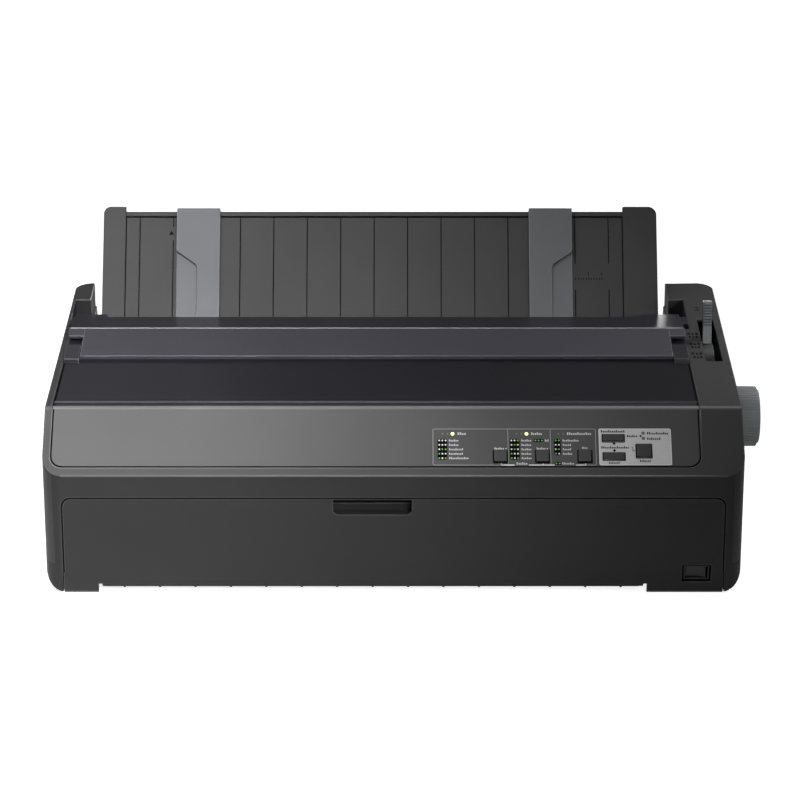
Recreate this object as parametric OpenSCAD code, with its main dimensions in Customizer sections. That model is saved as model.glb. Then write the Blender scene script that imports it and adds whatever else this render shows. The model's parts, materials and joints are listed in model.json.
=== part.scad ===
// Wide-carriage dot matrix printer with hinged covers, millimetres.
// Modelled in printer coordinates: X from the middle of the casing, Y back from the front face,
// Z up from the table. Each node is then shifted so that the origin is the middle of the footprint.

/* [Casing] */
// Width of the casing without the knob
body_w = 610; // [604:1:620]
// Depth from the front face to the rear wall
body_d = 402; // [398:1:410]
// Height of the raised paper guide above the table
overall_h = 256; // [252:1:262]
// Height of the upright front face
front_h = 110.6; // [108:0.2:113]
// Slope of the control panel above horizontal, in degrees
panel_angle = 42; // [41:0.5:43]
// Length of the control panel slope
panel_len = 67.4; // [66.4:0.2:69]
// Rise of the top towards the rear, in degrees
top_angle = 3.9; // [3.5:0.1:4.3]
// Depth at which the two towers end
tower_d = 341; // [338:1:345]
// Thickness of the casing's walls
wall = 3; // [2.6:0.1:3.4]
// Height of the lower case
split_z = 28; // [26:0.5:30]
// Radius of the casing's upright corners
corner_r = 16; // [14:0.5:17]
// Radius of the lower case's side edges
skirt_r = 18; // [16:0.5:20]
// Height of the rubber feet under the floor
foot_h = 1.6; // [1.2:0.1:2]
// Gap between a cover and the casing round it
seam = 0.6; // [0.5:0.1:0.8]

/* [Front cover] */
// Width of the front cover
flap_w = 577; // [570:1:579]
// Height of the front cover's top edge
flap_top = 89.6; // [87:0.2:92]
// Thickness of the front cover
flap_t = 3; // [2.6:0.1:3.4]
// Width of the finger recess
grip_w = 68.5; // [60:0.5:76]
// Height of the finger recess
grip_h = 15.2; // [13:0.2:17]
// Depth of the finger recess
grip_d = 13; // [11:0.5:15]

/* [Top cover and exit flap] */
// Left edge of the top cover, from the middle
cover_l = 298.2; // [297:0.2:298.6]
// Right edge of the top cover, from the middle
cover_r = 267; // [265:0.2:268]
// Thickness of the top cover
cover_t = 2.5; // [2.1:0.1:2.9]
// Width of the shoulder in which the exit flap lies
exit_arm_w = 14; // [12:0.5:16]
// Thickness of the exit flap
exit_t = 2.6; // [2.2:0.1:3]
// Height of the step from the top cover up to the exit flap
exit_step = 4.2; // [3.8:0.1:4.6]

/* [Paper guide] */
// Lean of the raised paper guide from upright, in degrees
guide_lean = 32.6; // [30:0.2:34]
// Thickness of the paper guide
guide_t = 3; // [2.6:0.1:3.4]
// Spacing of the paper guide's grooves
groove_pitch = 31.7; // [30:0.1:33]
// Width of an edge guide
edge_w = 40.8; // [38:0.2:44]

/* [Controls] */
// Side of a small square key
key_w = 11; // [10:0.2:12]
// Travel of a key
key_travel = 1; // [0.8:0.1:1.2]
// Width of the long keys
long_key_w = 18; // [16:0.2:19]
// Width of the release lever
lever_w = 8; // [7:0.2:9]
// Length of the release lever above its pivot
lever_h = 72; // [69:0.5:75]
// Backward lean of the release lever, in degrees
lever_lean = 10.4; // [9:0.2:12]
// Radius of the platen knob
knob_r = 27.6; // [25:0.2:28.4]
// Width of the platen knob
knob_w = 27; // [25:0.5:28]

/* [Print mechanism] */
// Radius of the platen
platen_r = 19; // [18:0.2:20]
// Length of the platen
platen_len = 428; // [420:1:436]
// Radius of the platen shaft
platen_shaft_r = 6; // [5.4:0.1:6.6]
// Thickness of the steel frame plates
plate_t = 2; // [1.6:0.1:2.4]
// Radius of the carriage's guide shaft
rod_r = 5; // [4.4:0.1:5.6]
// Gear tooth module
gear_m = 1.5; // [1.46:0.01:1.52]
// Width of the gears
gear_w = 6; // [5:0.5:7]
// Radius of the carriage belt pulleys
pulley_r = 8; // [7:0.2:9]
// Thickness of the carriage belt
belt_t = 1.4; // [1.2:0.1:1.6]
// Width of a tractor unit
tractor_w = 22; // [20:0.5:24]

/* [Hidden] */

$fn = 48;
eps = 0.02;             // overshoot of a cut past the face it opens
run = 0.06;             // radial clearance of a shaft in its bearing
half_w = body_w/2;
knob_out = half_w + 29; // outer face of the knob, which gives the overall width
ridge_y = panel_len*cos(panel_angle);
ridge_z = front_h + panel_len*sin(panel_angle);
deck_hi = 128;          // height of the rear deck where it leaves the towers
deck_lo = 112;          // height of the rear deck at the rear wall
floor_z = foot_h;       // underside of the lower case
floor_t = 3;            // thickness of the lower case's floor
pan_z = floor_z + floor_t + 6;      // underside of the steel pan
shift = [-(knob_out - half_w)/2, -body_d/2, 0];

function top_z(y) = ridge_z + (y - ridge_y)*tan(top_angle);

// ---------- drawing helpers ----------
module box(x0, x1, y0, y1, z0, z1) {
    translate([x0, y0, z0]) cube([x1 - x0, y1 - y0, z1 - z0]);
}
// A (y, z) outline drawn out along X
module xprism(x0, x1) {
    translate([x0, 0, 0]) rotate([90, 0, 90]) linear_extrude(x1 - x0) children();
}
module xcyl(r, x0, x1, y, z) {
    translate([x0, y, z]) rotate([0, 90, 0]) cylinder(r = r, h = x1 - x0);
}
module zcyl(r, x, y, z0, z1) {
    translate([x, y, z0]) cylinder(r = r, h = z1 - z0);
}
module ycyl(r, x, y0, y1, z) {
    translate([x, y0, z]) rotate([-90, 0, 0]) cylinder(r = r, h = y1 - y0);
}
// Rectangle with round corners, from its low corner to its high corner
module rrect(x0, y0, x1, y1, r) {
    translate([x0 + r, y0]) square([x1 - x0 - 2*r, y1 - y0]);
    translate([x0, y0 + r]) square([x1 - x0, y1 - y0 - 2*r]);
    for (x = [x0 + r, x1 - r], y = [y0 + r, y1 - r]) translate([x, y]) circle(r = r);
}
// Rectangle with only its two low corners round
module cup(x0, y0, x1, y1, r) {
    translate([x0 + r, y0]) square([x1 - x0 - 2*r, r + eps]);
    translate([x0, y0 + r]) square([x1 - x0, y1 - y0 - r]);
    for (x = [x0 + r, x1 - r]) translate([x, y0 + r]) circle(r = r);
}
// The control panel's own plane: X across, Y up the slope, Z out of it
module on_panel() {
    translate([0, 0, front_h]) rotate([panel_angle, 0, 0]) children();
}

// ---------- casing ----------
// (y, z) outline of the casing's tall part, set in by t
module tall_outline(t, z0) {
    ta = tan(panel_angle);
    tb = tan(top_angle);
    ca = t/cos(panel_angle);
    cb = t/cos(top_angle);
    yr = (ridge_z - ridge_y*tb - cb - front_h + ca)/(ta - tb);
    polygon([[t, z0], [t, front_h + t*ta - ca], [yr, front_h + yr*ta - ca],
        [tower_d - t, top_z(tower_d - t) - cb], [tower_d - t, z0]]);
}
rear_root = tower_d - 40;
module low_outline(t, z0) {
    fall = (deck_hi - deck_lo)/(body_d - tower_d);
    polygon([[rear_root, z0], [rear_root, deck_hi + (tower_d - rear_root)*fall - t],
        [body_d - t, deck_lo + t*fall - t], [body_d - t, z0]]);
}
module casing_form(t, z0) {
    intersection() {
        xprism(-half_w + t, half_w - t) tall_outline(t, z0);
        translate([0, 0, z0]) linear_extrude(overall_h)
            rrect(-half_w + t, t, half_w - t, tower_d - t, corner_r - t);
    }
    intersection() {
        xprism(-half_w + t, half_w - t) low_outline(t, z0);
        translate([0, 0, z0]) linear_extrude(overall_h)
            rrect(-half_w + t, t, half_w - t, body_d - t, corner_r - t);
    }
}

pit_front = 228;        // front of the slots for the top cover's hinge arms
pit_back = 299;         // front face of the blocks behind them
block_r = 260.5;        // inner faces of the two towers
block_l = 288;
pit_r = 274;            // outer side of the right hinge slot
fin_t = 3;              // plates that carry the paper guide's pivots
fin_r = 255.5;
fin_l = 282;
tower_low = 120;        // bottom of the towers' inner walls
hinge_y = 248;          // top cover's hinge axis
hinge_z = top_z(hinge_y) - 9.5;
hinge_r = 2;
guide_y = 265;          // paper guide's pivot
guide_z = top_z(guide_y) - 21.5;
pin_back = 5;            // guide's pivot behind the line of its paper face
guide_pin_y = guide_y + pin_back*cos(guide_lean);
guide_pin_z = guide_z - pin_back*sin(guide_lean);
guide_pin_r = 3;
lever_y = 203;          // release lever's pivot
lever_z = 128;
lever_pin_r = 4;
slot_x0 = 283;          // slot of the release lever
slot_x1 = half_w - 7;
slot_y0 = 152;
slot_y1 = 251;
platen_y = 172;
platen_z = 102;
knob_hole_r = platen_shaft_r + 3;
vent_n = 9;
vent_pitch = 9;
vent_w = 4;

slot_z0 = 58;           // front paper slot in the inner wall
slot_z1 = 68;
// Walls that stand inside the casing
module inner_walls() {
    difference() {
        union() {
            box(-half_w, half_w, in_y, in_y + wall, 0, flap_top + 6);
            box(-half_w, half_w, 0, in_y + wall, flap_top + 3, flap_top + 6);
        }
        box(platen_x0, platen_x1, in_y - 1, in_y + wall + 1, slot_z0, slot_z1);
    }
    box(pit_r, pit_r + wall, 44, pit_back + wall, tower_low, overall_h);
    box(block_r, block_r + wall, pit_back, tower_d, tower_low, overall_h);
    box(-block_l - wall, -block_l, pit_back, tower_d, tower_low, overall_h);
    box(fin_r, half_w, pit_back, pit_back + wall, tower_low, overall_h);
    box(-half_w, -fin_l, pit_back, pit_back + wall, tower_low, overall_h);
}
module guide_fins() {
    outline = [[guide_pin_y - 9, tower_low], [guide_pin_y - 9, guide_z + 4],
        [guide_pin_y, guide_z + 15], [pit_back + eps, guide_z + 18], [pit_back + eps, tower_low]];
    difference() {
        union() {
            xprism(fin_r, fin_r + fin_t) polygon(outline);
            xprism(-fin_l - fin_t, -fin_l) polygon(outline);
        }
        xcyl(guide_pin_r + run, -half_w, half_w, guide_pin_y, guide_pin_z);
        // room for the ears of the top cover, which swing down in front of the plates
        xcyl(ear_reach + 1, -half_w, half_w, hinge_y, hinge_z);
    }
}
module fascia_opening(gap) {
    on_panel() translate([0, 0, -20]) linear_extrude(60)
        cup(-cover_l - gap, 8 - gap, cover_r + gap, panel_len + 80, 11);
}
module upper_case() color("#2c2c2c") {
    sill_y = 16;        // depth of the front opening behind the front cover
    difference() {
        casing_form(0, split_z);
        difference() {
            casing_form(wall, split_z - 1);
            inner_walls();
        }
        // control panel, top cover and the space between the towers
        intersection() {
            fascia_opening(seam);
            box(-half_w, half_w, -1, ridge_y + 12, front_h - 10, overall_h);
        }
        box(-cover_l - seam, cover_r + seam, ridge_y - 2, pit_front, tower_low + 20, overall_h);
        box(-half_w + wall, pit_r, pit_front - eps, pit_back, tower_low + 20, overall_h);
        box(-block_l, block_r, pit_back - 1, tower_d + 1, deck_hi + 3, overall_h);
        // front cover, with round top corners
        translate([0, -1, 0]) rotate([-90, 0, 0]) mirror([0, 1, 0]) linear_extrude(sill_y + 1)
            rrect(-flap_w/2 - seam, 0, flap_w/2 + seam, flap_top + seam, 9);
        // lever slot, lever pivot and shaft hole
        box(slot_x0, slot_x1, slot_y0, slot_y1, lever_z + 12, overall_h);
        xcyl(knob_hole_r, pit_r + wall + 1, half_w + 1, platen_y, platen_z);
        // top cover's hinge bores
        xcyl(hinge_r + run, -half_w + wall - 2.2, -half_w + wall + 1, hinge_y, hinge_z);
        xcyl(hinge_r + run, pit_r - 1, pit_r + wall + 1, hinge_y, hinge_z);
        // rear wall openings: card slot, sockets and mains inlet
        box(slot_card_x0, slot_card_x1, body_d - wall - 1, body_d + 1, slot_card_z0, slot_card_z1);
        box(port_x0 - 0.3, port_x1 + 0.3, body_d - wall - 1, body_d + 1, port_z0 - 0.3, port_z1 + 0.3);
        box(usb_x0 - 0.3, usb_x1 + 0.3, body_d - wall - 1, body_d + 1, usb_z0 - 0.3, usb_z1 + 0.3);
        box(inlet_x0, inlet_x1, body_d - wall - 1, body_d + 1, inlet_z0, inlet_z1);
        // cooling slots low on both sides
        for (i = [0:vent_n - 1], s = [-1, 1])
            translate([s*half_w, i*vent_pitch, 0]) box(-wall - 1, wall + 1, 262, 262 + vent_w, 52, 88);
        // cooling slots high in the rear wall
        for (i = [0:vent_n - 1])
            translate([i*vent_pitch, 0, 0])
                box(-40, vent_w - 40, body_d - wall - 1, body_d + 1, 78, deck_lo - 8);
    }
    guide_fins();
    // lever's pivot pin on the right tower's inner wall
    xcyl(lever_pin_r, pit_r + wall - 0.5, slot_x1 - 2, lever_y, lever_z);
    // ledge that joins the two halves
    difference() {
        casing_form(wall - eps, split_z);
        casing_form(wall + 2, split_z - 1);
        box(-half_w, half_w, -1, body_d + 1, split_z + 4, overall_h);
        box(-half_w, half_w, -1, 30, 0, overall_h);
        box(-half_w, half_w, body_d - 30, body_d + 1, 0, overall_h);
    }
}

in_y = 22;              // inner front wall, clear of the front cover's foot as it swings
flap_axis_y = 4.5;
flap_axis_z = 12.5;
flap_pin_r = 1.8;
flap_pin_x = [-250, -90, 60, 210];
lug_r = 3.2;            // lugs of the lower case that hold the pins
lug_w = 6;
lug_gap = 0.3;          // clearance of the front cover round a lug
notch_x0 = -258.2;      // notches between the front cover's feet and its middle
notch_x1 = 221.7;
notch_w = 3;
module lower_case() color("#242424") {
    difference() {
        intersection() {
            translate([0, 0, floor_z]) linear_extrude(split_z - floor_z)
                rrect(-half_w, 0, half_w, body_d, corner_r);
            translate([0, body_d, 0]) rotate([90, 0, 0]) linear_extrude(body_d)
                cup(-half_w, floor_z, half_w, split_z + 20, skirt_r);
        }
        intersection() {
            translate([0, 0, floor_z + floor_t]) linear_extrude(split_z)
                rrect(-half_w + wall, in_y + wall, half_w - wall, body_d - wall, corner_r - wall);
            translate([0, body_d, 0]) rotate([90, 0, 0]) linear_extrude(body_d)
                cup(-half_w + wall, floor_z + floor_t, half_w - wall, split_z + 20, skirt_r - wall);
        }
        box(-flap_w/2 - seam, flap_w/2 + seam, -1, in_y, 0, split_z + 1);
        box(switch_x0 - 0.3, switch_x1 + 0.3, in_y - 1, in_y + wall + 1, switch_z0 - 0.3, switch_z1 + 0.3);
        for (x = foot_x, y = foot_y) zcyl(foot_r - 1, x, y, 0, floor_z + 1.2);
    }
    // lugs that hold the front cover's pins
    for (x = flap_pin_x) difference() {
        union() {
            box(x - lug_w/2, x + lug_w/2, flap_axis_y, in_y + eps, flap_axis_z - lug_r, flap_axis_z + lug_r);
            xcyl(lug_r, x - lug_w/2, x + lug_w/2, flap_axis_y, flap_axis_z);
        }
        xcyl(flap_pin_r + run, x - lug_w, x + lug_w, flap_axis_y, flap_axis_z);
    }
    // posts under the steel pan
    for (x = post_x, y = post_y)
        zcyl(6, x, y, floor_z + floor_t - eps, pan_z);
}
foot_r = 9;
foot_x = [-262, 262];
foot_y = [48, 360];
module feet() color("#151515") for (x = foot_x, y = foot_y) {
    zcyl(foot_r, x, y, 0, floor_z);
    zcyl(foot_r - 1.1, x, y, floor_z - eps, floor_z + 1.1);
}

module front_cover() color("#2a2a2a") {
    mid_low = 9.1;      // lower edge of the middle, where it turns in
    lip_low = 6.6;      // lower edge of the turned-in lip
    tooth_pitch = 31.05;
    foot_low = 0.6;     // lower edge of the two feet, just off the table
    bevel = 1.5;        // bevel that keeps a foot off the table as the cover swings
    grip_x = -18.4;
    gx0 = grip_x - grip_w/2;
    gx1 = grip_x + grip_w/2;
    gz0 = flap_top - grip_h;
    difference() {
        union() {
            difference() {
                intersection() {
                    xprism(-flap_w/2, flap_w/2) polygon([[0, foot_low + bevel], [bevel, foot_low],
                        [flap_t, foot_low], [flap_t, flap_top], [0.7, flap_top], [0, flap_top - 0.7]]);
                    translate([0, -1, 0]) rotate([-90, 0, 0]) mirror([0, 1, 0]) linear_extrude(flap_t + 2)
                        rrect(-flap_w/2, -20, flap_w/2, flap_top, 8.4);
                }
                box(notch_x0, notch_x1, -1, flap_t + 1, 0, mid_low);
            }
            // turned-in lower lip of the middle
            xprism(notch_x0 + notch_w, notch_x1 - notch_w) polygon([[0, mid_low], [0.8, lip_low],
                [flap_t, lip_low], [flap_t, mid_low + eps], [0, mid_low + eps]]);
        }
        // pockets that clear the lower case's lugs through the whole swing
        for (x = flap_pin_x) {
            xcyl(lug_r + lug_gap, x - lug_w/2 - lug_gap, x + lug_w/2 + lug_gap, flap_axis_y, flap_axis_z);
            box(x - lug_w/2 - lug_gap, x + lug_w/2 + lug_gap, flap_axis_y - lug_r - lug_gap, flap_t + 1,
                0, flap_axis_z);
        }
        // finger recess with its lower corners cut off
        translate([0, -1, 0]) rotate([-90, 0, 0]) mirror([0, 1, 0]) linear_extrude(flap_t + 2)
            polygon([[gx0, flap_top + 1], [gx0, gz0 + 3], [gx0 + 3, gz0], [gx1 - 3, gz0],
                [gx1, gz0 + 3], [gx1, flap_top + 1]]);
        box(switch_x0 - 1.4, switch_x1 + 1.4, -1, flap_t + 1, switch_z0 - 1.4, switch_z1 + 1.4);
    }
    // small teeth under the lip
    for (i = [-7:7])
        box(grip_x + i*tooth_pitch - 1, grip_x + i*tooth_pitch + 1, 0.8, 2, lip_low - 1.4, lip_low + eps);
    // cup behind the finger recess
    difference() {
        box(gx0 - 2, gx1 + 2, flap_t - eps, grip_d, gz0 - 2, flap_top - 2);
        box(gx0, gx1, flap_t - 1, grip_d - 2, gz0, flap_top - 1);
    }
    // latch ridge that shows as a bright line in the recess
    box(gx0, gx1, grip_d - 4.5, grip_d - 1.9, gz0 + 6.6, gz0 + 7.8);
    // hinge clips: a pin between two ears at each lug
    for (x = flap_pin_x) {
        xcyl(flap_pin_r, x - 5.6, x + 5.6, flap_axis_y, flap_axis_z);
        for (s = [-1, 1])
            box(x + s*4.6 - 1.2, x + s*4.6 + 1.2, flap_t - eps, flap_axis_y + 2.4,
                flap_axis_z - 2.6, flap_axis_z + 2.6);
    }
    // stiffening rib across the back
    box(-flap_w/2 + 6, flap_w/2 - 6, flap_t - eps, flap_t + 2, 44, 46);
}

// ---------- control panel ----------
fascia_t = 3;
fascia_lip = 9;         // level strip behind the ridge
plate_x0 = 178.4;
plate_x1 = 241.4;
plate_t0 = 10.1;
plate_t1 = 45.8;
// x0, width, lower edge up the slope, height
key_spec = [
    ["key_font", 87.2, key_w, 13.6, key_w - 0.2],
    ["key_pitch", 123.8, key_w, 13.6, key_w - 0.2],
    ["key_bin", 160.5, key_w, 13.6, key_w - 0.2],
    ["key_load", 182.1, long_key_w, 33.5, 6.1],
    ["key_feed", 182.3, long_key_w, 15.7, 6.1],
    ["key_pause", 211.2, key_w + 1.4, 18, key_w + 1.1]];
key_gap = 0.4;
board_n = -12;          // height of the switch board's top under the panel's face
board_post_x = [40, 110, 236];      // posts that carry the switch board
board_post_t = [12, 50];
// x, place up the slope, radius
lamp_spec = [[42.6, 41, 0.8], [47, 41, 0.8], [51.3, 41, 1.3], [106.9, 41, 0.8], [111.3, 41, 0.8],
    [115.7, 41, 1.3], [143.4, 41, 0.8], [147.7, 41, 0.8], [217.2, 41.3, 1], [217.3, 36.3, 1]];

module control_fascia() color("#343434") {
    difference() {
        union() {
            on_panel() translate([0, 0, -fascia_t]) linear_extrude(fascia_t)
                cup(-cover_l, 8, cover_r, panel_len - 2, 11);
            // ridge and level strip
            xprism(-cover_l, cover_r) polygon([
                [ridge_y - 4, ridge_z - 4*tan(panel_angle)], [ridge_y, ridge_z],
                [ridge_y + fascia_lip, top_z(ridge_y + fascia_lip)],
                [ridge_y + fascia_lip, top_z(ridge_y + fascia_lip) - fascia_t],
                [ridge_y + 1.4, ridge_z - fascia_t - 1], [ridge_y - 4, ridge_z - 9]]);
        }
        on_panel() {
            for (k = key_spec)
                translate([k[1] - key_gap, k[3] - key_gap, -20])
                    cube([k[2] + 2*key_gap, k[4] + 2*key_gap, 40]);
            for (l = lamp_spec)
                translate([l[0], l[1], -20]) cylinder(r = l[2] + 0.05, h = 40, $fn = 24);
        }
    }
    on_panel() for (x = board_post_x, t = board_post_t) {
        translate([x, t, board_n - eps]) cylinder(r = 2.2, h = -board_n - fascia_t + 2*eps, $fn = 24);
    }
    // clips that hook the panel under the casing's rim
    on_panel() for (x = [-270, -150, -30, 248])
        translate([x - 6, 5.4, -fascia_t - 2.6]) cube([12, 14, 2.6 + eps]);
}
module key_plate() color("#9c9c9c") on_panel() difference() {
    translate([0, 0, 0]) linear_extrude(0.6) rrect(plate_x0, plate_t0, plate_x1, plate_t1, 1.6);
    for (k = key_spec)
        translate([k[1] - key_gap, k[3] - key_gap, -1]) cube([k[2] + 2*key_gap, k[4] + 2*key_gap, 3]);
    for (l = lamp_spec) translate([l[0], l[1], -1]) cylinder(r = l[2] + 0.05, h = 3, $fn = 24);
}
module key(name) color("#262626") for (k = key_spec) if (k[0] == name) on_panel() {
    proud = 1.9;
    translate([k[1], k[3], -fascia_t - key_travel - 1.2])
        cube([k[2], k[4], proud + fascia_t + key_travel + 1.2]);
    // flange that stops the key under the panel, and the stem that presses its switch
    translate([k[1] - 1, k[3] - 1, -fascia_t - 1.4]) cube([k[2] + 2, k[4] + 2, 1.2]);
    translate([k[1] + k[2]/2 - 1.5, k[3] + k[4]/2 - 1.5, board_n + switch_h])
        cube([3, 3, -board_n - switch_h - fascia_t - 1]);
}
switch_h = 4;           // height of a key switch with its plunger
module panel_board() color("#1f5a34") on_panel() {
    translate([board_post_x[0] - 10, board_post_t[0] - 3.5, board_n - board_t])
        cube([board_post_x[2] - board_post_x[0] + 19, board_post_t[1] - board_post_t[0] + 10, board_t]);
    // key switches: a body and a spring plunger that gives way to the key
    for (k = key_spec) translate([k[1] + k[2]/2, k[3] + k[4]/2, board_n - eps]) {
        translate([-3, -3, 0]) cube([6, 6, switch_h - key_travel - 0.3]);
    }
    // lamp seats
    for (l = lamp_spec) translate([l[0], l[1], board_n - eps]) cylinder(r = l[2], h = 3, $fn = 24);
}
module panel_lamps() color("#cfe08a") on_panel() for (l = lamp_spec) {
    face = l[0] > plate_x0 ? 0.7 : 0.15;
    translate([l[0], l[1], board_n + 3]) cylinder(r = l[2], h = face - board_n - 3, $fn = 24);
}

// ---------- top cover ----------
cover_y0 = ridge_y + fascia_lip + seam;
cover_y1 = 152;         // rear edge of the clear front panel
exit_y0 = 153.5;        // front and rear edge of the exit flap
exit_y1 = 205;
exit_axis_y = 162.5;
exit_z0 = top_z(exit_y0) + exit_step;
exit_rise = 9.5;        // rise of the exit flap from its front to its rear edge
function exit_z(y) = exit_z0 + (y - exit_y0)*exit_rise/(exit_y1 - exit_y0);
exit_axis_z = exit_z(exit_axis_y) - exit_t - 0.4;
exit_pin_r = 1.6;
slat_y1 = 251;          // rear edge of the cover's middle
slat_z0 = exit_z(exit_y1);
slat_z1 = slat_z0 - 4.9;
ear_y1 = 262;           // rear edge of the cover's ears
ear_drop = 1.1;
ear_reach = norm([ear_y1 - hinge_y, slat_z1 - ear_drop - hinge_z]);
ear_l = 268.7;          // inner ends of the ears
ear_r = 230;
arm_l = cover_l - exit_arm_w;
arm_r = cover_r - exit_arm_w;
module printer_cover() color("#26252b") {
    t = cover_t;
    // level front panel
    xprism(-cover_l, cover_r) polygon([[cover_y0, top_z(cover_y0)], [cover_y1, top_z(cover_y1)],
        [cover_y1, top_z(cover_y1) - t], [cover_y0, top_z(cover_y0) - t]]);
    // riser at the panel's rear edge, up to the exit flap's front edge
    riser_y = exit_y0 - seam;
    xprism(-cover_l, cover_r) polygon([[riser_y - 1.6, top_z(cover_y1) - t], [riser_y, top_z(cover_y1) - t],
        [riser_y, exit_z0 - 1.4], [riser_y - 1.6, exit_z0 - 1.4]]);
    // shoulders beside the exit flap
    for (x = [[-cover_l, -arm_l - seam], [arm_r + seam, cover_r]]) {
        xprism(x[0], x[1]) polygon([[cover_y1 - 8, top_z(cover_y1 - 8) - t],
            [cover_y1 - 6, top_z(cover_y1 - 6)], [cover_y1 - 4, exit_z(exit_y0) - 1],
            [cover_y1 + 22, exit_z(cover_y1 + 22)], [cover_y1 + 24, exit_z(cover_y1 + 24) - 4],
            [exit_y1 - 17, exit_z(exit_y1 - 17) - 6], [exit_y1 + 2, slat_z0 - 6],
            [exit_y1 + 2, slat_z0 - 9], [cover_y1 + 20, top_z(cover_y1 + 20) - t]]);
    }
    // strip behind the exit flap, falling to the rear
    xprism(-cover_l, cover_r) polygon([[exit_y1 + seam, slat_z0], [slat_y1, slat_z1],
        [slat_y1, slat_z1 - t], [exit_y1 + seam + t, slat_z0 - t],
        [exit_y1 + seam + t, slat_z0 - 8], [exit_y1 + seam, slat_z0 - 8]]);
    // ears
    for (x = [[-cover_l, -ear_l], [ear_r, cover_r]])
        xprism(x[0], x[1]) polygon([[slat_y1 - 1, slat_z1 + 0.1], [ear_y1, slat_z1 - ear_drop],
            [ear_y1, slat_z1 - ear_drop - t], [slat_y1 - 1, slat_z1 - t]]);
    // hinge arms and their pins
    arm = [[hinge_y - 18, slat_z1 + 0.4], [hinge_y - 18, slat_z1 - 5], [hinge_y - 4, hinge_z - 4],
        [hinge_y + 4, hinge_z - 4], [hinge_y + 7, hinge_z + 1], [hinge_y + 7, slat_z1 - 1.4]];
    xprism(cover_r - 1, pit_r - seam) polygon(arm);
    xprism(-half_w + wall + seam, -cover_l + 1) polygon(arm);
    xcyl(hinge_r, pit_r - seam - 1, pit_r + wall - 0.4, hinge_y, hinge_z);
    xcyl(hinge_r, -half_w + wall - 1.8, -half_w + wall + seam + 1, hinge_y, hinge_z);
    // pins for the exit flap
    xcyl(exit_pin_r, -arm_l - seam - 1, -arm_l + 5, exit_axis_y, exit_axis_z);
    xcyl(exit_pin_r, arm_r - 5, arm_r + seam + 1, exit_axis_y, exit_axis_z);
    // finger lip at the front edge
    lip_z = top_z(cover_y0) - cover_t;
    box(-60, 24, cover_y0, cover_y0 + 5, lip_z - 2, lip_z + eps);
}
module exit_flap() color("#3a3940") {
    t = exit_t;
    wide_y = exit_y1 - 15;  // the flap is wider behind this line
    difference() {
        union() {
            xprism(-arm_l, arm_r) polygon([[exit_y0, exit_z(exit_y0)], [exit_y1, exit_z(exit_y1)],
                [exit_y1, exit_z(exit_y1) - t], [exit_y0, exit_z(exit_y0) - t]]);
            xprism(-cover_l, cover_r) polygon([[wide_y, exit_z(wide_y)], [exit_y1, exit_z(exit_y1)],
                [exit_y1, exit_z(exit_y1) - t], [wide_y, exit_z(wide_y) - t]]);
            // hinge lugs
            for (x = [[-arm_l, -arm_l + 6], [arm_r - 6, arm_r]]) {
                xcyl(exit_pin_r + 1.6, x[0], x[1], exit_axis_y, exit_axis_z);
                box(x[0], x[1], exit_axis_y - 3.2, exit_axis_y + 3.2, exit_axis_z, exit_axis_z + 1.6);
            }
        }
        for (x = [[-arm_l - 1, -arm_l + 5.4], [arm_r - 5.4, arm_r + 1]])
            xcyl(exit_pin_r + run, x[0], x[1], exit_axis_y, exit_axis_z);
    }
}

// ---------- release lever ----------
module release_lever() color("#5a5c5e") {
    lx0 = slot_x0 + 1.7;
    lx1 = lx0 + lever_w;
    half = 4.2;         // half thickness of the grip
    ribs = 7;
    rib_pitch = 2.6;
    shield_t = 2;
    difference() {
        union() {
            translate([0, lever_y, lever_z]) rotate([-lever_lean, 0, 0]) {
                // grip with a bevelled tip
                xprism(lx0, lx1) polygon([[-half, 0], [-half + 0.4, lever_h - 1.5], [-half + 1.6, lever_h],
                    [half - 1.6, lever_h], [half - 0.4, lever_h - 1.5], [half, 0]]);
                for (i = [0:ribs - 1])
                    box(lx0 + 0.4, lx1 - 0.4, -half - 0.4, 0, lever_h - 3 - i*rib_pitch,
                        lever_h - 1.8 - i*rib_pitch);
            }
            // curved shield that closes the slot in front of the grip, on its web
            translate([0, lever_y, lever_z]) {
                xprism(slot_x0 + 0.7, lx1 + 0.8)
                    polygon(concat(shield_arc(shield_r, 0), shield_arc(shield_r - shield_t, 1)));
                xprism(slot_x0 + 0.7, lx0 + 0.4)
                    polygon(concat([[0, 0]], shield_arc(shield_r - 1, 0)));
            }
            xcyl(lever_pin_r + 3, slot_x0 + 0.7, lx1, lever_y, lever_z);
        }
        xcyl(lever_pin_r + run, 0, half_w, lever_y, lever_z);
    }
}
shield_r = 33;
shield_a0 = 86;         // the shield's arc, from the grip round to the front
shield_a1 = 200;
// Points of the shield's arc, in order or, with back = 1, in reverse
function shield_arc(r, back) = [for (i = [0:19]) let(j = back ? 19 - i : i)
    let(a = shield_a0 + j*(shield_a1 - shield_a0)/19) [r*cos(a), r*sin(a)]];

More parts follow.
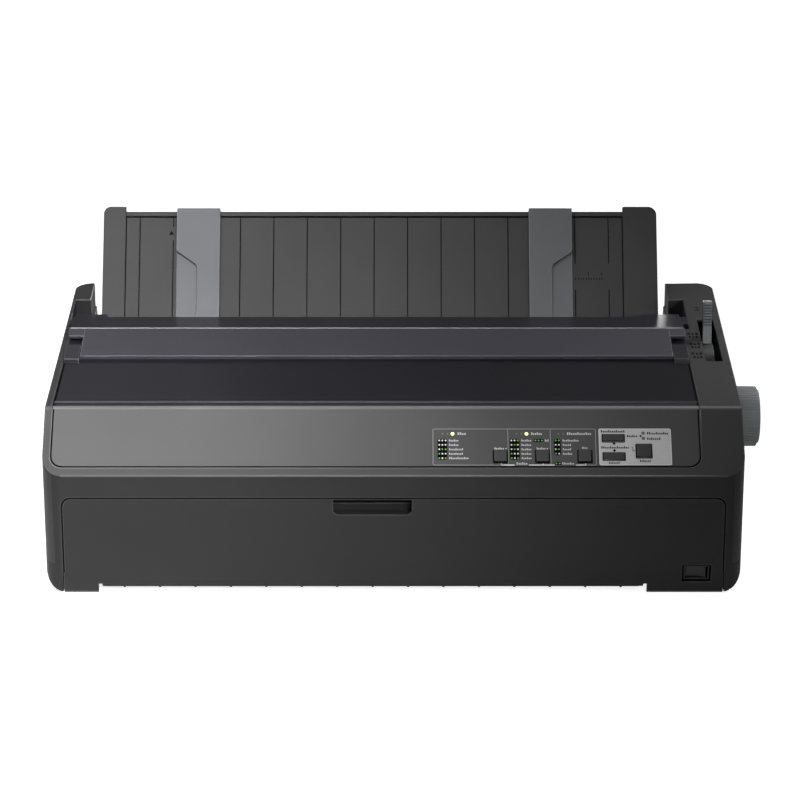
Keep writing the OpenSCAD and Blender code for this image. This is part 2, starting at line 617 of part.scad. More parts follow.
// ---------- platen ----------
print_x = -18;          // middle of the printed line
platen_x0 = print_x - platen_len/2;
platen_x1 = print_x + platen_len/2;
plate_l = 18 - platen_x0;   // outer faces of the frame plates
plate_r = platen_x1 + 20;
post_x = [10 - plate_l, plate_r - 11];  // posts and screws under the steel pan
post_y = [130, 290];
gear_x = -plate_l - gear_w - 2;
module platen_roller() color("#1c1c1c") difference() {
    xcyl(platen_r, platen_x0, platen_x1, platen_y, platen_z);
    xcyl(platen_shaft_r, platen_x0 - 1, platen_x1 + 1, platen_y, platen_z);
}
module platen_shaft() color("#b8bcc0") {
    xcyl(platen_shaft_r, gear_x - 2, knob_out - knob_w + 16, platen_y, platen_z);
}
bush_r = platen_shaft_r + 3.5;
module platen_bushes() color("#d8d2c0") {
    for (x = [-plate_l, plate_r - plate_t]) difference() {
        xcyl(bush_r, x - 1.2, x + plate_t + 1.2, platen_y, platen_z);
        xcyl(platen_shaft_r + run, x - 2, x + plate_t + 2, platen_y, platen_z);
    }
}
module platen_knob() color("#5e6062") difference() {
    union() {
        xcyl(knob_r - 0.8, knob_out - knob_w + 3, knob_out - 2, platen_y, platen_z);
        xcyl(knob_r - 3, knob_out - 3, knob_out, platen_y, platen_z);
        xcyl(knob_r - 8, knob_out - knob_w, knob_out - 3, platen_y, platen_z);
        for (i = [0:59]) translate([knob_out - knob_w + 3, platen_y, platen_z]) rotate([i*6, 0, 0])
            translate([0, -0.7, knob_r - 2]) cube([knob_w - 5.5, 1.4, 2]);
    }
    xcyl(platen_shaft_r, knob_out - knob_w - 1, knob_out - knob_w + 16, platen_y, platen_z);
}

// ---------- gears ----------
function gear_r(n) = gear_m*n/2;
// Turn that meshes gear nb with gear na, which stands at phase pa, along direction d
function mesh(na, pa, nb, d) = d + 180 + 180/nb + (d - pa)*na/nb;
module gear_outline(n) {
    r = gear_r(n);
    ro = r + 0.7*gear_m;
    ri = r - gear_m;
    p = 360/n;
    polygon([for (i = [0:n - 1], v = [[ri, -0.34], [ro, -0.13], [ro, 0.13], [ri, 0.34]])
        v[0]*[cos((i + v[1])*p), sin((i + v[1])*p)]]);
}
module gear(n, phase, y, z, x0, w, bore) {
    xprism(x0, x0 + w) translate([y, z]) rotate(phase) difference() {
        gear_outline(n);
        circle(r = bore);
    }
}
n_platen = 36;
n_feed = 26;
n_pinion = 12;
n_tidler = 40;
n_tractor = 26;
feed_dir = -60;
pinion_dir = 0;
tidler_dir = 10;
tractor_dir = 7;
feed_y = platen_y + (gear_r(n_platen) + gear_r(n_feed))*cos(feed_dir);
feed_z = platen_z + (gear_r(n_platen) + gear_r(n_feed))*sin(feed_dir);
pinion_y = feed_y + (gear_r(n_feed) + gear_r(n_pinion))*cos(pinion_dir);
pinion_z = feed_z + (gear_r(n_feed) + gear_r(n_pinion))*sin(pinion_dir);
tidler_y = platen_y + (gear_r(n_platen) + gear_r(n_tidler))*cos(tidler_dir);
tidler_z = platen_z + (gear_r(n_platen) + gear_r(n_tidler))*sin(tidler_dir);
tractor_y = tidler_y + (gear_r(n_tidler) + gear_r(n_tractor))*cos(tractor_dir);
tractor_z = tidler_z + (gear_r(n_tidler) + gear_r(n_tractor))*sin(tractor_dir);
p_feed = mesh(n_platen, 0, n_feed, feed_dir);
p_pinion = mesh(n_feed, p_feed, n_pinion, pinion_dir);
p_tidler = mesh(n_platen, 0, n_tidler, tidler_dir);
p_tractor = mesh(n_tidler, p_tidler, n_tractor, tractor_dir);
stud_r = 4;
motor_shaft_r = 2.5;
drive_r = 4;            // corner radius of the hexagonal tractor shaft's round ends
module platen_gear() color("#e4e0d4")
    gear(n_platen, 0, platen_y, platen_z, gear_x, gear_w, platen_shaft_r);
module feed_pinion() color("#c9a25a")
    gear(n_pinion, p_pinion, pinion_y, pinion_z, gear_x - 1, gear_w + 1.5, motor_shaft_r + run);
module feed_idler_gear() color("#e4e0d4")
    gear(n_feed, p_feed, feed_y, feed_z, gear_x, gear_w, stud_r + run);
module tractor_idler_gear() color("#e4e0d4")
    gear(n_tidler, p_tidler, tidler_y, tidler_z, gear_x, gear_w, stud_r + run);
module tractor_gear() color("#e4e0d4")
    gear(n_tractor, p_tractor, tractor_y, tractor_z, gear_x, gear_w, drive_r);

// ---------- steel frame ----------
pan_t = 2;
pan_y0 = 62;
pan_y1 = 304;
support_y = tractor_y + 30;
rod_y = 104;
rod_z = 84;
rail_y = 74;
plate_top = rod_z + 16; // level front part of the plates' top edge
nip_r = 5.4;             // radius of the pressure rollers
roller_y = platen_y + (platen_r + nip_r + 0.3)*cos(45);
roller_z = platen_z + (platen_r + nip_r + 0.3)*sin(45);
roller_pin_r = 2.5;
module plate_outline() {
    polygon([[pan_y0, pan_z], [pan_y1, pan_z], [support_y + 8, tractor_z - 10],
        [support_y + 8, tractor_z + 8], [tractor_y - 8, tractor_z + 10], [tidler_y, tidler_z + 10],
        [roller_y + 10, roller_z + 12], [platen_y - 12, roller_z + 12], [platen_y - 22, platen_z],
        [rod_y + 14, plate_top], [pan_y0, plate_top]]);
}
module plate_holes(x0, x1) {
    xcyl(bush_r, x0 - 1, x1 + 1, platen_y, platen_z);
    xcyl(rod_r, x0 - 1, x1 + 1, rod_y, rod_z);
    xcyl(drive_r + run, x0 - 1, x1 + 1, tractor_y, tractor_z);
    xcyl(3, x0 - 1, x1 + 1, support_y, tractor_z);
    xcyl(roller_pin_r + run, x0 - 1, x1 + 1, roller_y, roller_z);
}
module frame_plate_left() color("#a9adb1") {
    x0 = -plate_l;
    difference() {
        xprism(x0, x0 + plate_t) plate_outline();
        plate_holes(x0, x0 + plate_t);
        xcyl(11, x0 - 1, x0 + plate_t + 1, pinion_y, pinion_z);
    }
    // studs for the idler gears
    xcyl(stud_r, gear_x - 1, x0 + eps, feed_y, feed_z);
    xcyl(stud_r, gear_x - 1, x0 + eps, tidler_y, tidler_z);
}
module frame_plate_right() color("#a9adb1") difference() {
    xprism(plate_r - plate_t, plate_r) plate_outline();
    plate_holes(plate_r - plate_t, plate_r);
}
module chassis_pan() color("#9a9ea2") {
    difference() {
        box(-plate_l + plate_t, plate_r - plate_t, pan_y0, pan_y1, pan_z, pan_z + pan_t);
        zcyl(motor_r + 1, motor_x, belt_y, pan_z - 1, pan_z + pan_t + 1);
    }
    // paper pan under the platen
    xprism(-plate_l + plate_t, plate_r - plate_t) intersection() {
        translate([platen_y, platen_z]) difference() {
            circle(r = platen_r + 4.2);
            circle(r = platen_r + 3);
        }
        translate([platen_y - 10, platen_z - platen_r - 6]) square([26 + platen_r, platen_r + 8]);
    }
    // bracket of the idler pulley
    box(idler_x - 10, idler_x + 10, belt_y - 10, belt_y + 10, pan_z + pan_t - eps, pan_z + pan_t + 2);
    zcyl(3, idler_x, belt_y, pan_z + pan_t, belt_z + 9);
    zcyl(7, idler_x, belt_y, pan_z + pan_t, belt_z - 2.1);
}
module carriage_rod() color("#c8ccd0")
    xcyl(rod_r, -plate_l - 2, plate_r + 2, rod_y, rod_z);
module carriage_rail() color("#8f9397")
    xprism(-plate_l + plate_t, plate_r - plate_t) polygon([[rail_y - 5, rod_z - 12],
        [rail_y + 5, rod_z - 12], [rail_y + 5, rod_z + 12], [rail_y + 3.4, rod_z + 12],
        [rail_y + 3.4, rod_z - 10.4], [rail_y - 5, rod_z - 10.4]]);

// ---------- carriage, head and ribbon ----------
carriage_x = 60 - plate_l;  // carriage at the left end of its travel
car_w = 46;
belt_y = 92;
belt_z = 60;
belt_w = 6;
motor_r = 21;
motor_x = 28 - plate_l;
idler_x = plate_r - 26;
module carriage() color("#303236") {
    x0 = carriage_x - car_w/2;
    x1 = carriage_x + car_w/2;
    difference() {
        union() {
            xprism(x0, x1) polygon([[rail_y + 7, rod_z - 9], [rod_y + 13, rod_z - 9], [rod_y + 13, rod_z + 9],
                [rod_y + 9, rod_z + 12], [rail_y + 7, rod_z + 12]]);
            // clamp on the belt's rear run
            box(carriage_x - 8, carriage_x + 8, belt_y + pulley_r + belt_t + 0.1,
                belt_y + pulley_r + belt_t + 5, belt_z - 1, rod_z - 9 + eps);
            box(carriage_x - 8, carriage_x + 8, belt_y + pulley_r - 4, belt_y + pulley_r + 5,
                belt_z + belt_w + 0.6, rod_z - 9 + eps);
            box(carriage_x - 8, carriage_x + 8, belt_y + pulley_r - 4, belt_y + pulley_r,
                belt_z - 1, belt_z + belt_w + 1);
        }
        xcyl(rod_r + run, x0 - 1, x1 + 1, rod_y, rod_z);
    }
    // hook over the front rail
    xprism(x0 + 6, x1 - 6) polygon([[rail_y + 2.8, rod_z + 12.6], [rail_y + 7.5, rod_z + 12.6],
        [rail_y + 7.5, rod_z + 11], [rail_y + 9, rod_z + 11], [rail_y + 9, rod_z + 15], [rail_y, rod_z + 15],
        [rail_y, rod_z + 4], [rail_y + 2.8, rod_z + 4]]);
}
head_low = rod_z + 12;
module print_head() color("#3d4044") {
    hx = carriage_x;
    // finned body
    box(hx - 17, hx + 17, rail_y + 12, rod_y + 8, head_low, head_low + 4);
    for (i = [0:6])
        box(hx - 17, hx + 17, rail_y + 12 + i*4, rail_y + 14 + i*4, head_low + 4 - eps, head_low + 22);
    box(hx - 10, hx + 10, rail_y + 12, rod_y + 8, head_low + 4 - eps, head_low + 18);
    // nose that carries the wires to the platen
    xprism(hx - 6, hx + 6) polygon([[rod_y + 8 - eps, head_low], [rod_y + 8 - eps, head_low + 16],
        [platen_y - platen_r - 3.4, platen_z + 4], [platen_y - platen_r - 3.4, platen_z - 4]]);
}
rib_y0 = 48;            // front of the ribbon cartridge
rib_y1 = 70;
rib_z0 = rod_z + 20;
rib_z1 = rib_z0 + 20;
rib_x0 = 6 - plate_l;
rib_x1 = plate_r - 8;
rib_out_y = platen_y - platen_r - 1.6;
winder_x = rib_x0 + 64;
module ribbon_cartridge() color("#18191b") {
    difference() {
        union() {
            translate([0, 0, rib_z0]) linear_extrude(rib_z1 - rib_z0) rrect(rib_x0, rib_y0, rib_x1, rib_y1, 4);
            // arms that reach back to the platen
            for (x = [[rib_x0, rib_x0 + 12], [rib_x1 - 12, rib_x1]])
                box(x[0], x[1], rib_y1 - 5, rib_out_y - 2, rib_z0, rib_z0 + 14);
        }
        translate([0, 0, rib_z0 + 2]) linear_extrude(rib_z1 - rib_z0 - 4)
            rrect(rib_x0 + 2, rib_y0 + 2, rib_x1 - 2, rib_y1 - 2, 2);
        zcyl(3 + run, winder_x, (rib_y0 + rib_y1)/2, rib_z1 - 3, rib_z1 + 1);
    }
    // small posts that turn the ribbon
    for (x = [rib_x0 + 6, rib_x1 - 6])
        zcyl(2, x, rib_out_y - 2.2, rib_z0, rib_z0 + 14);
    // feet on the frame plates
    for (x = [[-plate_l, rib_x0 + 4], [rib_x1 - 4, plate_r]])
        box(x[0], x[1], rod_y - 18, rod_y, plate_top, rib_z0 + eps);
}
module ribbon() color("#101012")
    box(rib_x0 + 6, rib_x1 - 6, rib_out_y, rib_out_y + 0.4, rib_z0 + 0.5, rib_z0 + 13.2);
module ribbon_winder() color("#d9d9d4") {
    yy = (rib_y0 + rib_y1)/2;
    zcyl(3, winder_x, yy, rib_z1 - 2.4, rib_z1 + 0.3);
    zcyl(7, winder_x, yy, rib_z1 + 0.3, rib_z1 + 5);
    translate([winder_x - 6, yy - 1, rib_z1 + 5 - eps]) cube([12, 2, 2.5]);
}

// ---------- carriage drive ----------
module carriage_motor() color("#2e3033") {
    zcyl(motor_r, motor_x, belt_y, floor_z + floor_t + 0.3, belt_z - 6);
    zcyl(motor_shaft_r, motor_x, belt_y, belt_z - 6 - eps, belt_z + 8);
    difference() {
        box(motor_x - 24, motor_x + 24, belt_y - 24, belt_y + 24, pan_z + pan_t, pan_z + pan_t + 2);
        zcyl(motor_r - 0.1, motor_x, belt_y, 0, belt_z);
    }
}
module pulley(x, bore) {
    difference() {
        union() {
            zcyl(pulley_r, x, belt_y, belt_z - 0.6, belt_z + belt_w + 0.6);
            zcyl(pulley_r + 2.4, x, belt_y, belt_z - 1.8, belt_z - 0.6 + eps);
            zcyl(pulley_r + 2.4, x, belt_y, belt_z + belt_w + 0.6 - eps, belt_z + belt_w + 1.8);
        }
        zcyl(bore, x, belt_y, belt_z - 3, belt_z + belt_w + 3);
    }
}
module motor_pulley() color("#d5d8da") pulley(motor_x, motor_shaft_r + run);
module idler_pulley() color("#d5d8da") pulley(idler_x, 3 + run);
module belt_loop(r) {
    translate([motor_x, belt_y]) circle(r = r);
    translate([idler_x, belt_y]) circle(r = r);
    translate([motor_x, belt_y - r]) square([idler_x - motor_x, 2*r]);
}
module carriage_belt() color("#1a1a1a") translate([0, 0, belt_z]) linear_extrude(belt_w) difference() {
    belt_loop(pulley_r + 0.05 + belt_t);
    belt_loop(pulley_r + 0.05);
}

// ---------- paper feed drive ----------
module feed_motor() color("#2e3033") {
    xcyl(19, -plate_l + plate_t, -plate_l + plate_t + 38, pinion_y, pinion_z);
    xcyl(10.6, -plate_l - 0.4, -plate_l + plate_t + 1, pinion_y, pinion_z);
    xcyl(motor_shaft_r, gear_x - 2, -plate_l + plate_t + 1, pinion_y, pinion_z);
}

// ---------- tractors ----------
tl_x = 45 - plate_l;    // left edge of each tractor unit
tr_x = plate_r - 66;
tract_z0 = tractor_z - 9;
tract_z1 = tractor_z + 11;
sprocket_r = 8;
module tractor_drive_shaft() color("#b8bcc0") {
    // six-sided between the plates, round in its bearings
    translate([-plate_l + plate_t + 2, tractor_y, tractor_z]) rotate([0, 90, 0])
        cylinder(r = drive_r, h = plate_r - plate_t + plate_l - plate_t - 4, $fn = 6);
    xcyl(drive_r, gear_x - 1, -plate_l + plate_t + 2 + eps, tractor_y, tractor_z);
    xcyl(drive_r, plate_r - plate_t - 2 - eps, plate_r + 2, tractor_y, tractor_z);
}
module tractor_support_shaft() color("#b8bcc0")
    xcyl(3, -plate_l - 1, plate_r + 1, support_y, tractor_z);
module tractor_body(x0) difference() {
    union() {
        box(x0, x0 + tractor_w, tractor_y - 12, support_y + 8, tract_z0, tract_z1);
        // lock lever
        box(x0 + tractor_w/2 - 3, x0 + tractor_w/2 + 3, support_y + 8 - eps, support_y + 20,
            tractor_z - 2, tractor_z + 1);
    }
    // slot in which the sprocket turns
    box(x0 + 6, x0 + tractor_w - 6, tractor_y - 13, tractor_y + sprocket_r + 3.5, tract_z0 - 1, tract_z1 + 1);
    xcyl(drive_r + 0.5, x0 - 1, x0 + tractor_w + 1, tractor_y, tractor_z);
    xcyl(3 + run, x0 - 1, x0 + tractor_w + 1, support_y, tractor_z);
    // hinge groove of the cover
    xcyl(1.8, x0 - 1, x0 + tractor_w + 1, support_y + 5, tract_z1);
}
module tractor_cover(x0) {
    t = 2;
    difference() {
        box(x0, x0 + tractor_w, tractor_y - 12, support_y + 5, tract_z1 + 1.2, tract_z1 + 1.2 + t);
        box(x0 + 6, x0 + tractor_w - 6, tractor_y - 13, tractor_y + 26, tract_z1, tract_z1 + 5);
    }
    xcyl(1.5, x0, x0 + tractor_w, support_y + 5, tract_z1);
    box(x0, x0 + tractor_w, support_y + 3.6, support_y + 5, tract_z1, tract_z1 + 1.2 + t);
}
module sprocket(x0) {
    w = tractor_w - 13;
    difference() {
        union() {
            xcyl(sprocket_r, x0 + 6.5, x0 + 6.5 + w, tractor_y, tractor_z);
            for (i = [0:5]) translate([x0 + 6.5 + w/2, tractor_y, tractor_z]) rotate([i*60 + 30, 0, 0])
                translate([0, 0, sprocket_r - 1]) cylinder(r = 1.3, h = 3.2, $fn = 24);
        }
        translate([x0, tractor_y, tractor_z]) rotate([0, 90, 0])
            cylinder(r = drive_r + 0.08, h = tractor_w, $fn = 6);
    }
}
module tractor_left() color("#4a4c50") tractor_body(tl_x);
module tractor_right() color("#4a4c50") tractor_body(tr_x);
module tractor_left_cover() color("#5a5c60") tractor_cover(tl_x);
module tractor_right_cover() color("#5a5c60") tractor_cover(tr_x);
module tractor_left_sprocket() color("#e4e0d4") sprocket(tl_x);
module tractor_right_sprocket() color("#e4e0d4") sprocket(tr_x);
module pressure_rollers() color("#202020") {
    xcyl(roller_pin_r, -plate_l - 0.5, plate_r + 0.5, roller_y, roller_z);
    for (i = [-3:3]) xcyl(nip_r, print_x + i*58 - 9, print_x + i*58 + 9, roller_y, roller_z);
}

// ---------- paper guide ----------
wing_n = 4.5;           // front faces of the wings and of the panel, from the pivot
panel_n = 2.7;
wing_lx = [-275.3, -254.2];
wing_rx = [216.7, 248.8];
wing_top = (overall_h - guide_z - wing_n*sin(guide_lean))/cos(guide_lean);
panel_top = wing_top - 4.5;
guide_low = 6;           // lower edge of the guide, above the sweep of the top cover's ears
arm_w = 9;              // width of the arms that carry the guide
ear_clear = 2;          // side clearance round the top cover's ears
notch_up = 13.5;        // height of the corners cut out for the ears
module on_guide() {
    translate([0, guide_y, guide_z]) rotate([90 - guide_lean, 0, 0]) children();
}
module paper_guide() color("#333333") {
    on_guide() difference() {
        guide_face();
        // corners that the top cover's ears swing into
        translate([ear_r - ear_clear, guide_low - 1, panel_n - guide_t - 1])
            cube([60, notch_up - guide_low + 1, 20]);
        translate([-ear_l + ear_clear - 60, guide_low - 1, panel_n - guide_t - 1])
            cube([60, notch_up - guide_low + 1, 20]);
    }
    // arms behind the corners, and the pivots on them
    for (x = [wing_lx[0], wing_rx[1] - arm_w]) {
        on_guide() translate([x, -3, -pin_back - 3])
            cube([arm_w, notch_up + 12.5, pin_back + 3 + panel_n - guide_t + eps]);
        xcyl(guide_pin_r + 1.6, x, x + arm_w, guide_pin_y, guide_pin_z);
    }
    for (x = [[-fin_l - fin_t + 0.4, wing_lx[0] + 4], [wing_rx[1] - 4, fin_r + fin_t - 0.4]])
        xcyl(guide_pin_r, x[0], x[1], guide_pin_y, guide_pin_z);
}
module guide_face() {
    difference() {
        translate([wing_lx[0], guide_low, panel_n - guide_t])
            cube([wing_rx[1] - wing_lx[0], panel_top - guide_low - 6, guide_t]);
        // upright grooves of the paper face
        for (i = [-7:7]) translate([print_x - 0.9 + i*groove_pitch - 0.5, guide_low - 1, panel_n - 0.9])
            cube([1, panel_top + 2, 2]);
    }
    // rim along the top edge
    translate([wing_lx[1] - 1, panel_top - 4.6, panel_n - guide_t])
        cube([wing_rx[0] - wing_lx[1] + 2, 4.6, guide_t + 0.4]);
    translate([wing_lx[0], panel_top - 9.1, panel_n - guide_t])
        cube([wing_rx[1] - wing_lx[0], 5, guide_t - 1.4]);
    // wings, each with one round top corner
    translate([0, 0, panel_n - guide_t]) linear_extrude(wing_n - panel_n + guide_t) {
        translate([wing_lx[0], guide_low]) square([wing_lx[1] - wing_lx[0], wing_top - guide_low - 7]);
        translate([wing_lx[0] + 7, wing_top - 8]) square([wing_lx[1] - wing_lx[0] - 7, 8]);
        translate([wing_lx[0] + 7, wing_top - 7]) circle(r = 7);
        translate([wing_rx[0], guide_low]) square([wing_rx[1] - wing_rx[0], wing_top - guide_low - 8]);
        translate([wing_rx[0], wing_top - 9]) square([wing_rx[1] - wing_rx[0] - 8, 9]);
        translate([wing_rx[1] - 8, wing_top - 8]) circle(r = 8);
    }
    // ribs behind, and a rail for the edge guides
    for (x = [-200, -110, -18, 74, 165]) translate([x, 40, panel_n - guide_t - 4])
        cube([2, panel_top - 64, 4 + eps]);
    translate([wing_lx[1], 30, panel_n - guide_t - 3]) cube([wing_rx[0] - wing_lx[1], 3, 3 + eps]);
}
left_edge_x = -205.6;
edge_top = wing_top - 2.4; // upper ends of the edge guides
right_edge_x = 127.6;
// (x, up) outline of an edge guide's raised plate, x from its outer edge
module edge_raised() {
    polygon([[0, 80], [0, edge_top], [edge_w, edge_top], [edge_w, 8], [19.6, 8], [19.6, 64.5],
        [17.5, 67.5]]);
}
module edge_guide_shape() {
    base_n = wing_n + 0.4;
    face_n = base_n + 3.4;
    low = 8;
    translate([0, 0, base_n]) linear_extrude(face_n - base_n) edge_raised();
    translate([0, low, panel_n + 0.7]) cube([edge_w, wing_top - 10 - low, base_n - panel_n - 0.7 + eps]);
    // hook over the top rim, and the jaw behind the panel
    translate([0, panel_top + 0.4, panel_n - guide_t - 2.4])
        cube([edge_w, edge_top - panel_top - 0.4, face_n - panel_n + guide_t + 2.4]);
    translate([4, panel_top - 8.6, panel_n - guide_t - 2.4]) cube([edge_w - 8, 10, 2]);
}
module edge_guide_left() color("#77797c") on_guide() translate([left_edge_x, 0, 0]) edge_guide_shape();
module edge_guide_right() color("#6a6c6f") on_guide()
    translate([right_edge_x + edge_w, 0, 0]) mirror([1, 0, 0]) edge_guide_shape();

// ---------- electronics ----------
board_z = pan_z;         // underside of the supply board
slot_card_x0 = -268;
slot_card_x1 = -150;
slot_card_z0 = 46;
slot_card_z1 = 92;
port_x0 = 120;
port_x1 = 186;
port_z0 = 44;
port_z1 = 59;
usb_x0 = 92;
usb_x1 = 104.4;
usb_z0 = 44;
usb_z1 = 55.4;
inlet_x0 = 222;
inlet_x1 = 250;
inlet_z0 = 42;
inlet_z1 = 62;
mb_z = port_z0;          // top of the main board, on which the sockets stand
board_t = 1.6;
board_y0 = 318;          // front edge of both boards
// Place on the main board or the supply board, as a share of its depth
function mb_y(share) = board_y0 + share*(body_d - wall - 1 - board_y0);
function psu_y(share) = board_y0 + share*(body_d - 20 - board_y0);
module main_board() color("#1f5a34") {
    box(60, 200, mb_y(0), mb_y(1), mb_z - board_t, mb_z);
    // posts down to the floor
    for (x = [66, 194], y = [mb_y(0.06), mb_y(0.64)])
        zcyl(2.6, x, y, floor_z + floor_t, mb_z - board_t + eps);
    // chips and coils
    box(80, 104, mb_y(0.08), mb_y(0.36), mb_z - eps, mb_z + 3.4);
    box(116, 146, mb_y(0.08), mb_y(0.26), mb_z - eps, mb_z + 2.8);
    box(156, 170, mb_y(0.06), mb_y(0.22), mb_z - eps, mb_z + 2.4);
    for (i = [0:3]) zcyl(3.5, 160 + i*9, mb_y(0.36), mb_z - eps, mb_z + 11);
}
module power_supply() color("#c9a66a") {
    top = board_z + board_t - eps;
    box(slot_card_x0 - 16, slot_card_x1, psu_y(0), psu_y(1), board_z, board_z + board_t);
    for (x = [slot_card_x0 - 10, slot_card_x1 - 6], y = [psu_y(0.1), psu_y(0.9)])
        zcyl(3, x, y, floor_z + floor_t, board_z + eps);
    // transformer, capacitors and heat sink
    box(-270, -224, psu_y(0.12), psu_y(0.76), top, board_z + 36);
    zcyl(11, -205, psu_y(0.28), top, board_z + 34);
    zcyl(8, -180, psu_y(0.28), top, board_z + 28);
    box(-212, -160, psu_y(0.64), psu_y(0.69), top, board_z + 34);
}
module rear_sockets() color("#b4b6b8") {
    // wide data socket: a shell with a tongue inside
    difference() {
        box(port_x0, port_x1, body_d - 24, body_d - 0.5, port_z0, port_z1);
        box(port_x0 + 5, port_x1 - 5, body_d - 12, body_d, port_z0 + 2, port_z1 - 2);
    }
    box(port_x0 + 8, port_x1 - 8, body_d - 12 - eps, body_d - 3, port_z0 + 5, port_z0 + 6.6);
    // small square data socket
    difference() {
        box(usb_x0, usb_x1, body_d - 24, body_d - 0.5, usb_z0, usb_z1);
        box(usb_x0 + 1, usb_x1 - 1, body_d - 12, body_d, usb_z0 + 1, usb_z1 - 1);
    }
    // mains inlet
    difference() {
        box(inlet_x0 + 0.3, inlet_x1 - 0.3, body_d - 26, body_d - 0.5, inlet_z0 + 0.3, inlet_z1 - 0.3);
        box(inlet_x0 + 2, inlet_x1 - 2, body_d - 18, body_d, inlet_z0 + 2, inlet_z1 - 2);
    }
    for (p = [[-7, -2], [0, 3], [7, -2]])
        translate([(inlet_x0 + inlet_x1)/2 + p[0], body_d, (inlet_z0 + inlet_z1)/2 + p[1]])
            box(-1, 1, -18 - eps, -5, -2, 2);
}
module slot_cover() color("#8f9295") {
    box(slot_card_x0 + 0.3, slot_card_x1 - 0.3, body_d - wall, body_d - 0.6,
        slot_card_z0 + 0.3, slot_card_z1 - 0.3);
    box(slot_card_x0 - 4, slot_card_x1 + 4, body_d - wall - 1.4, body_d - wall,
        slot_card_z0 - 4, slot_card_z1 + 4);
}
switch_x0 = 253.8;
switch_x1 = 276.2;
switch_z0 = 12.4;
switch_z1 = 25.6;
rock_y = 10;            // rocker's pivot, behind the front face
rock_r = 1.5;
switch_mid = (switch_x0 + switch_x1)/2;
module power_switch() color("#1a1a1a") difference() {
    union() {
        box(switch_x0, switch_x1, 2.4, 40, switch_z0, switch_z1);
        box(switch_x0 - 6, switch_x1 + 6, 18, 22, switch_z0 - 4, switch_z1 + 6);
        box(switch_x0 + 2, switch_x1 - 2, 30, 40, floor_z + floor_t, switch_z0 + eps);
    }
    box(switch_x0 + 1.4, switch_x1 - 1.4, 2, 20, switch_z0 + 1.4, switch_z1 - 1.4);
    zcyl(rock_r + run, switch_mid, rock_y, switch_z0 - 1, switch_z1 + 1);
}
module power_rocker() color("#303030") {
    hw = (switch_x1 - switch_x0)/2 - 2.4;
    translate([switch_mid, rock_y, switch_z0 + 1.8]) linear_extrude(switch_z1 - switch_z0 - 3.6)
        rotate(-6) polygon([[-hw, -6], [0, -4.6], [hw, -6], [hw - 2, 2], [0, 4], [-hw + 2, 2]]);
    zcyl(rock_r, switch_mid, rock_y, switch_z0 + 0.3, switch_z1 - 0.3);
}

// ---------- fasteners ----------
module screws() color("#8a8d90") {
    // pan to the posts of the lower case
    for (x = post_x, y = post_y) translate([x, y, pan_z + pan_t]) cylinder(r = 4, h = 2, $fn = 24);
    // card slot plate to the rear wall
    for (x = [slot_card_x0 + 8, slot_card_x1 - 8])
        translate([x, body_d - 0.6, (slot_card_z0 + slot_card_z1)/2]) rotate([-90, 0, 0])
            cylinder(r = 3.5, h = 0.6, $fn = 24);
}

translate(shift) {
    lower_case();
    upper_case();
    front_cover();
    control_fascia();
    key_plate();
    key("key_font");  // key_font
    key("key_pitch");  // key_pitch
    key("key_bin");  // key_bin
    key("key_load");  // key_load
    key("key_feed");  // key_feed
    key("key_pause");  // key_pause
    panel_board();
    panel_lamps();
    printer_cover();
    exit_flap();
    release_lever();
    platen_roller();
    platen_shaft();
    platen_bushes();
    platen_gear();
    platen_knob();
    frame_plate_left();
    frame_plate_right();
    chassis_pan();
    carriage_rod();
    carriage_rail();
    carriage();
    print_head();
    ribbon_cartridge();
    ribbon();
    ribbon_winder();
    carriage_motor();
    motor_pulley();
    idler_pulley();
    carriage_belt();
    feed_motor();
    feed_pinion();
    feed_idler_gear();
    tractor_idler_gear();
    tractor_gear();
    tractor_drive_shaft();
    tractor_support_shaft();
    tractor_left();
    tractor_left_cover();
    tractor_left_sprocket();
    tractor_right();
    tractor_right_cover();
    tractor_right_sprocket();
    pressure_rollers();
    paper_guide();
    edge_guide_left();
    edge_guide_right();
    main_board();
    power_supply();
    rear_sockets();
    slot_cover();
    power_switch();
    power_rocker();
    feet();
    screws();
}
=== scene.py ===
import json
import math

import bmesh
import bpy
from mathutils import Matrix, Vector

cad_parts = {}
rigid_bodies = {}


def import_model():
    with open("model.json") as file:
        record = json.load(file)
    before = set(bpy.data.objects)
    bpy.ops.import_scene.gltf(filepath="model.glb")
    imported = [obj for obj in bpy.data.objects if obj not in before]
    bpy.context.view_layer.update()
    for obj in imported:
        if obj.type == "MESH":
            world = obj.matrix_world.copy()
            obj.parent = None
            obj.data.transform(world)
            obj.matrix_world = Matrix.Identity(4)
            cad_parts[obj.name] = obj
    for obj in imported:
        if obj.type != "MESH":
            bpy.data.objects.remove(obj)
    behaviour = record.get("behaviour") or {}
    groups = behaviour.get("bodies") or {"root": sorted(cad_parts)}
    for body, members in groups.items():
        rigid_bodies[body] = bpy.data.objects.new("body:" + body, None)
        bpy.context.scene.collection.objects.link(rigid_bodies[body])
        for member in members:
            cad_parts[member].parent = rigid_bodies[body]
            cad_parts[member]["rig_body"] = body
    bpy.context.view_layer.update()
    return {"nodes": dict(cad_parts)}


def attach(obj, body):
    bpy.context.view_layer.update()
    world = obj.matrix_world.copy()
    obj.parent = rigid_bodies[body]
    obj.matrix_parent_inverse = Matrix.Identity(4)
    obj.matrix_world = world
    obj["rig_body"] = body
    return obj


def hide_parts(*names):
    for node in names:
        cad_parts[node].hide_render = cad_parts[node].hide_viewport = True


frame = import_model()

print("frame loaded:", len(frame["nodes"]), "nodes")

# Lengths below are millimetres in printer coordinates: X from the casing's middle, Y back from its front face,
# Z up from the table. The scene's origin is the middle of the footprint.
footprint = {"middleX": 14.5, "middleY": 201.0}
panel = {"height": 110.6, "slope": 42.0}
top = {"ridgeY": 50.09, "ridgeZ": 155.7, "rise": 3.9}
guide = {"y": 265.0, "z": 148.85, "lean": 32.6}


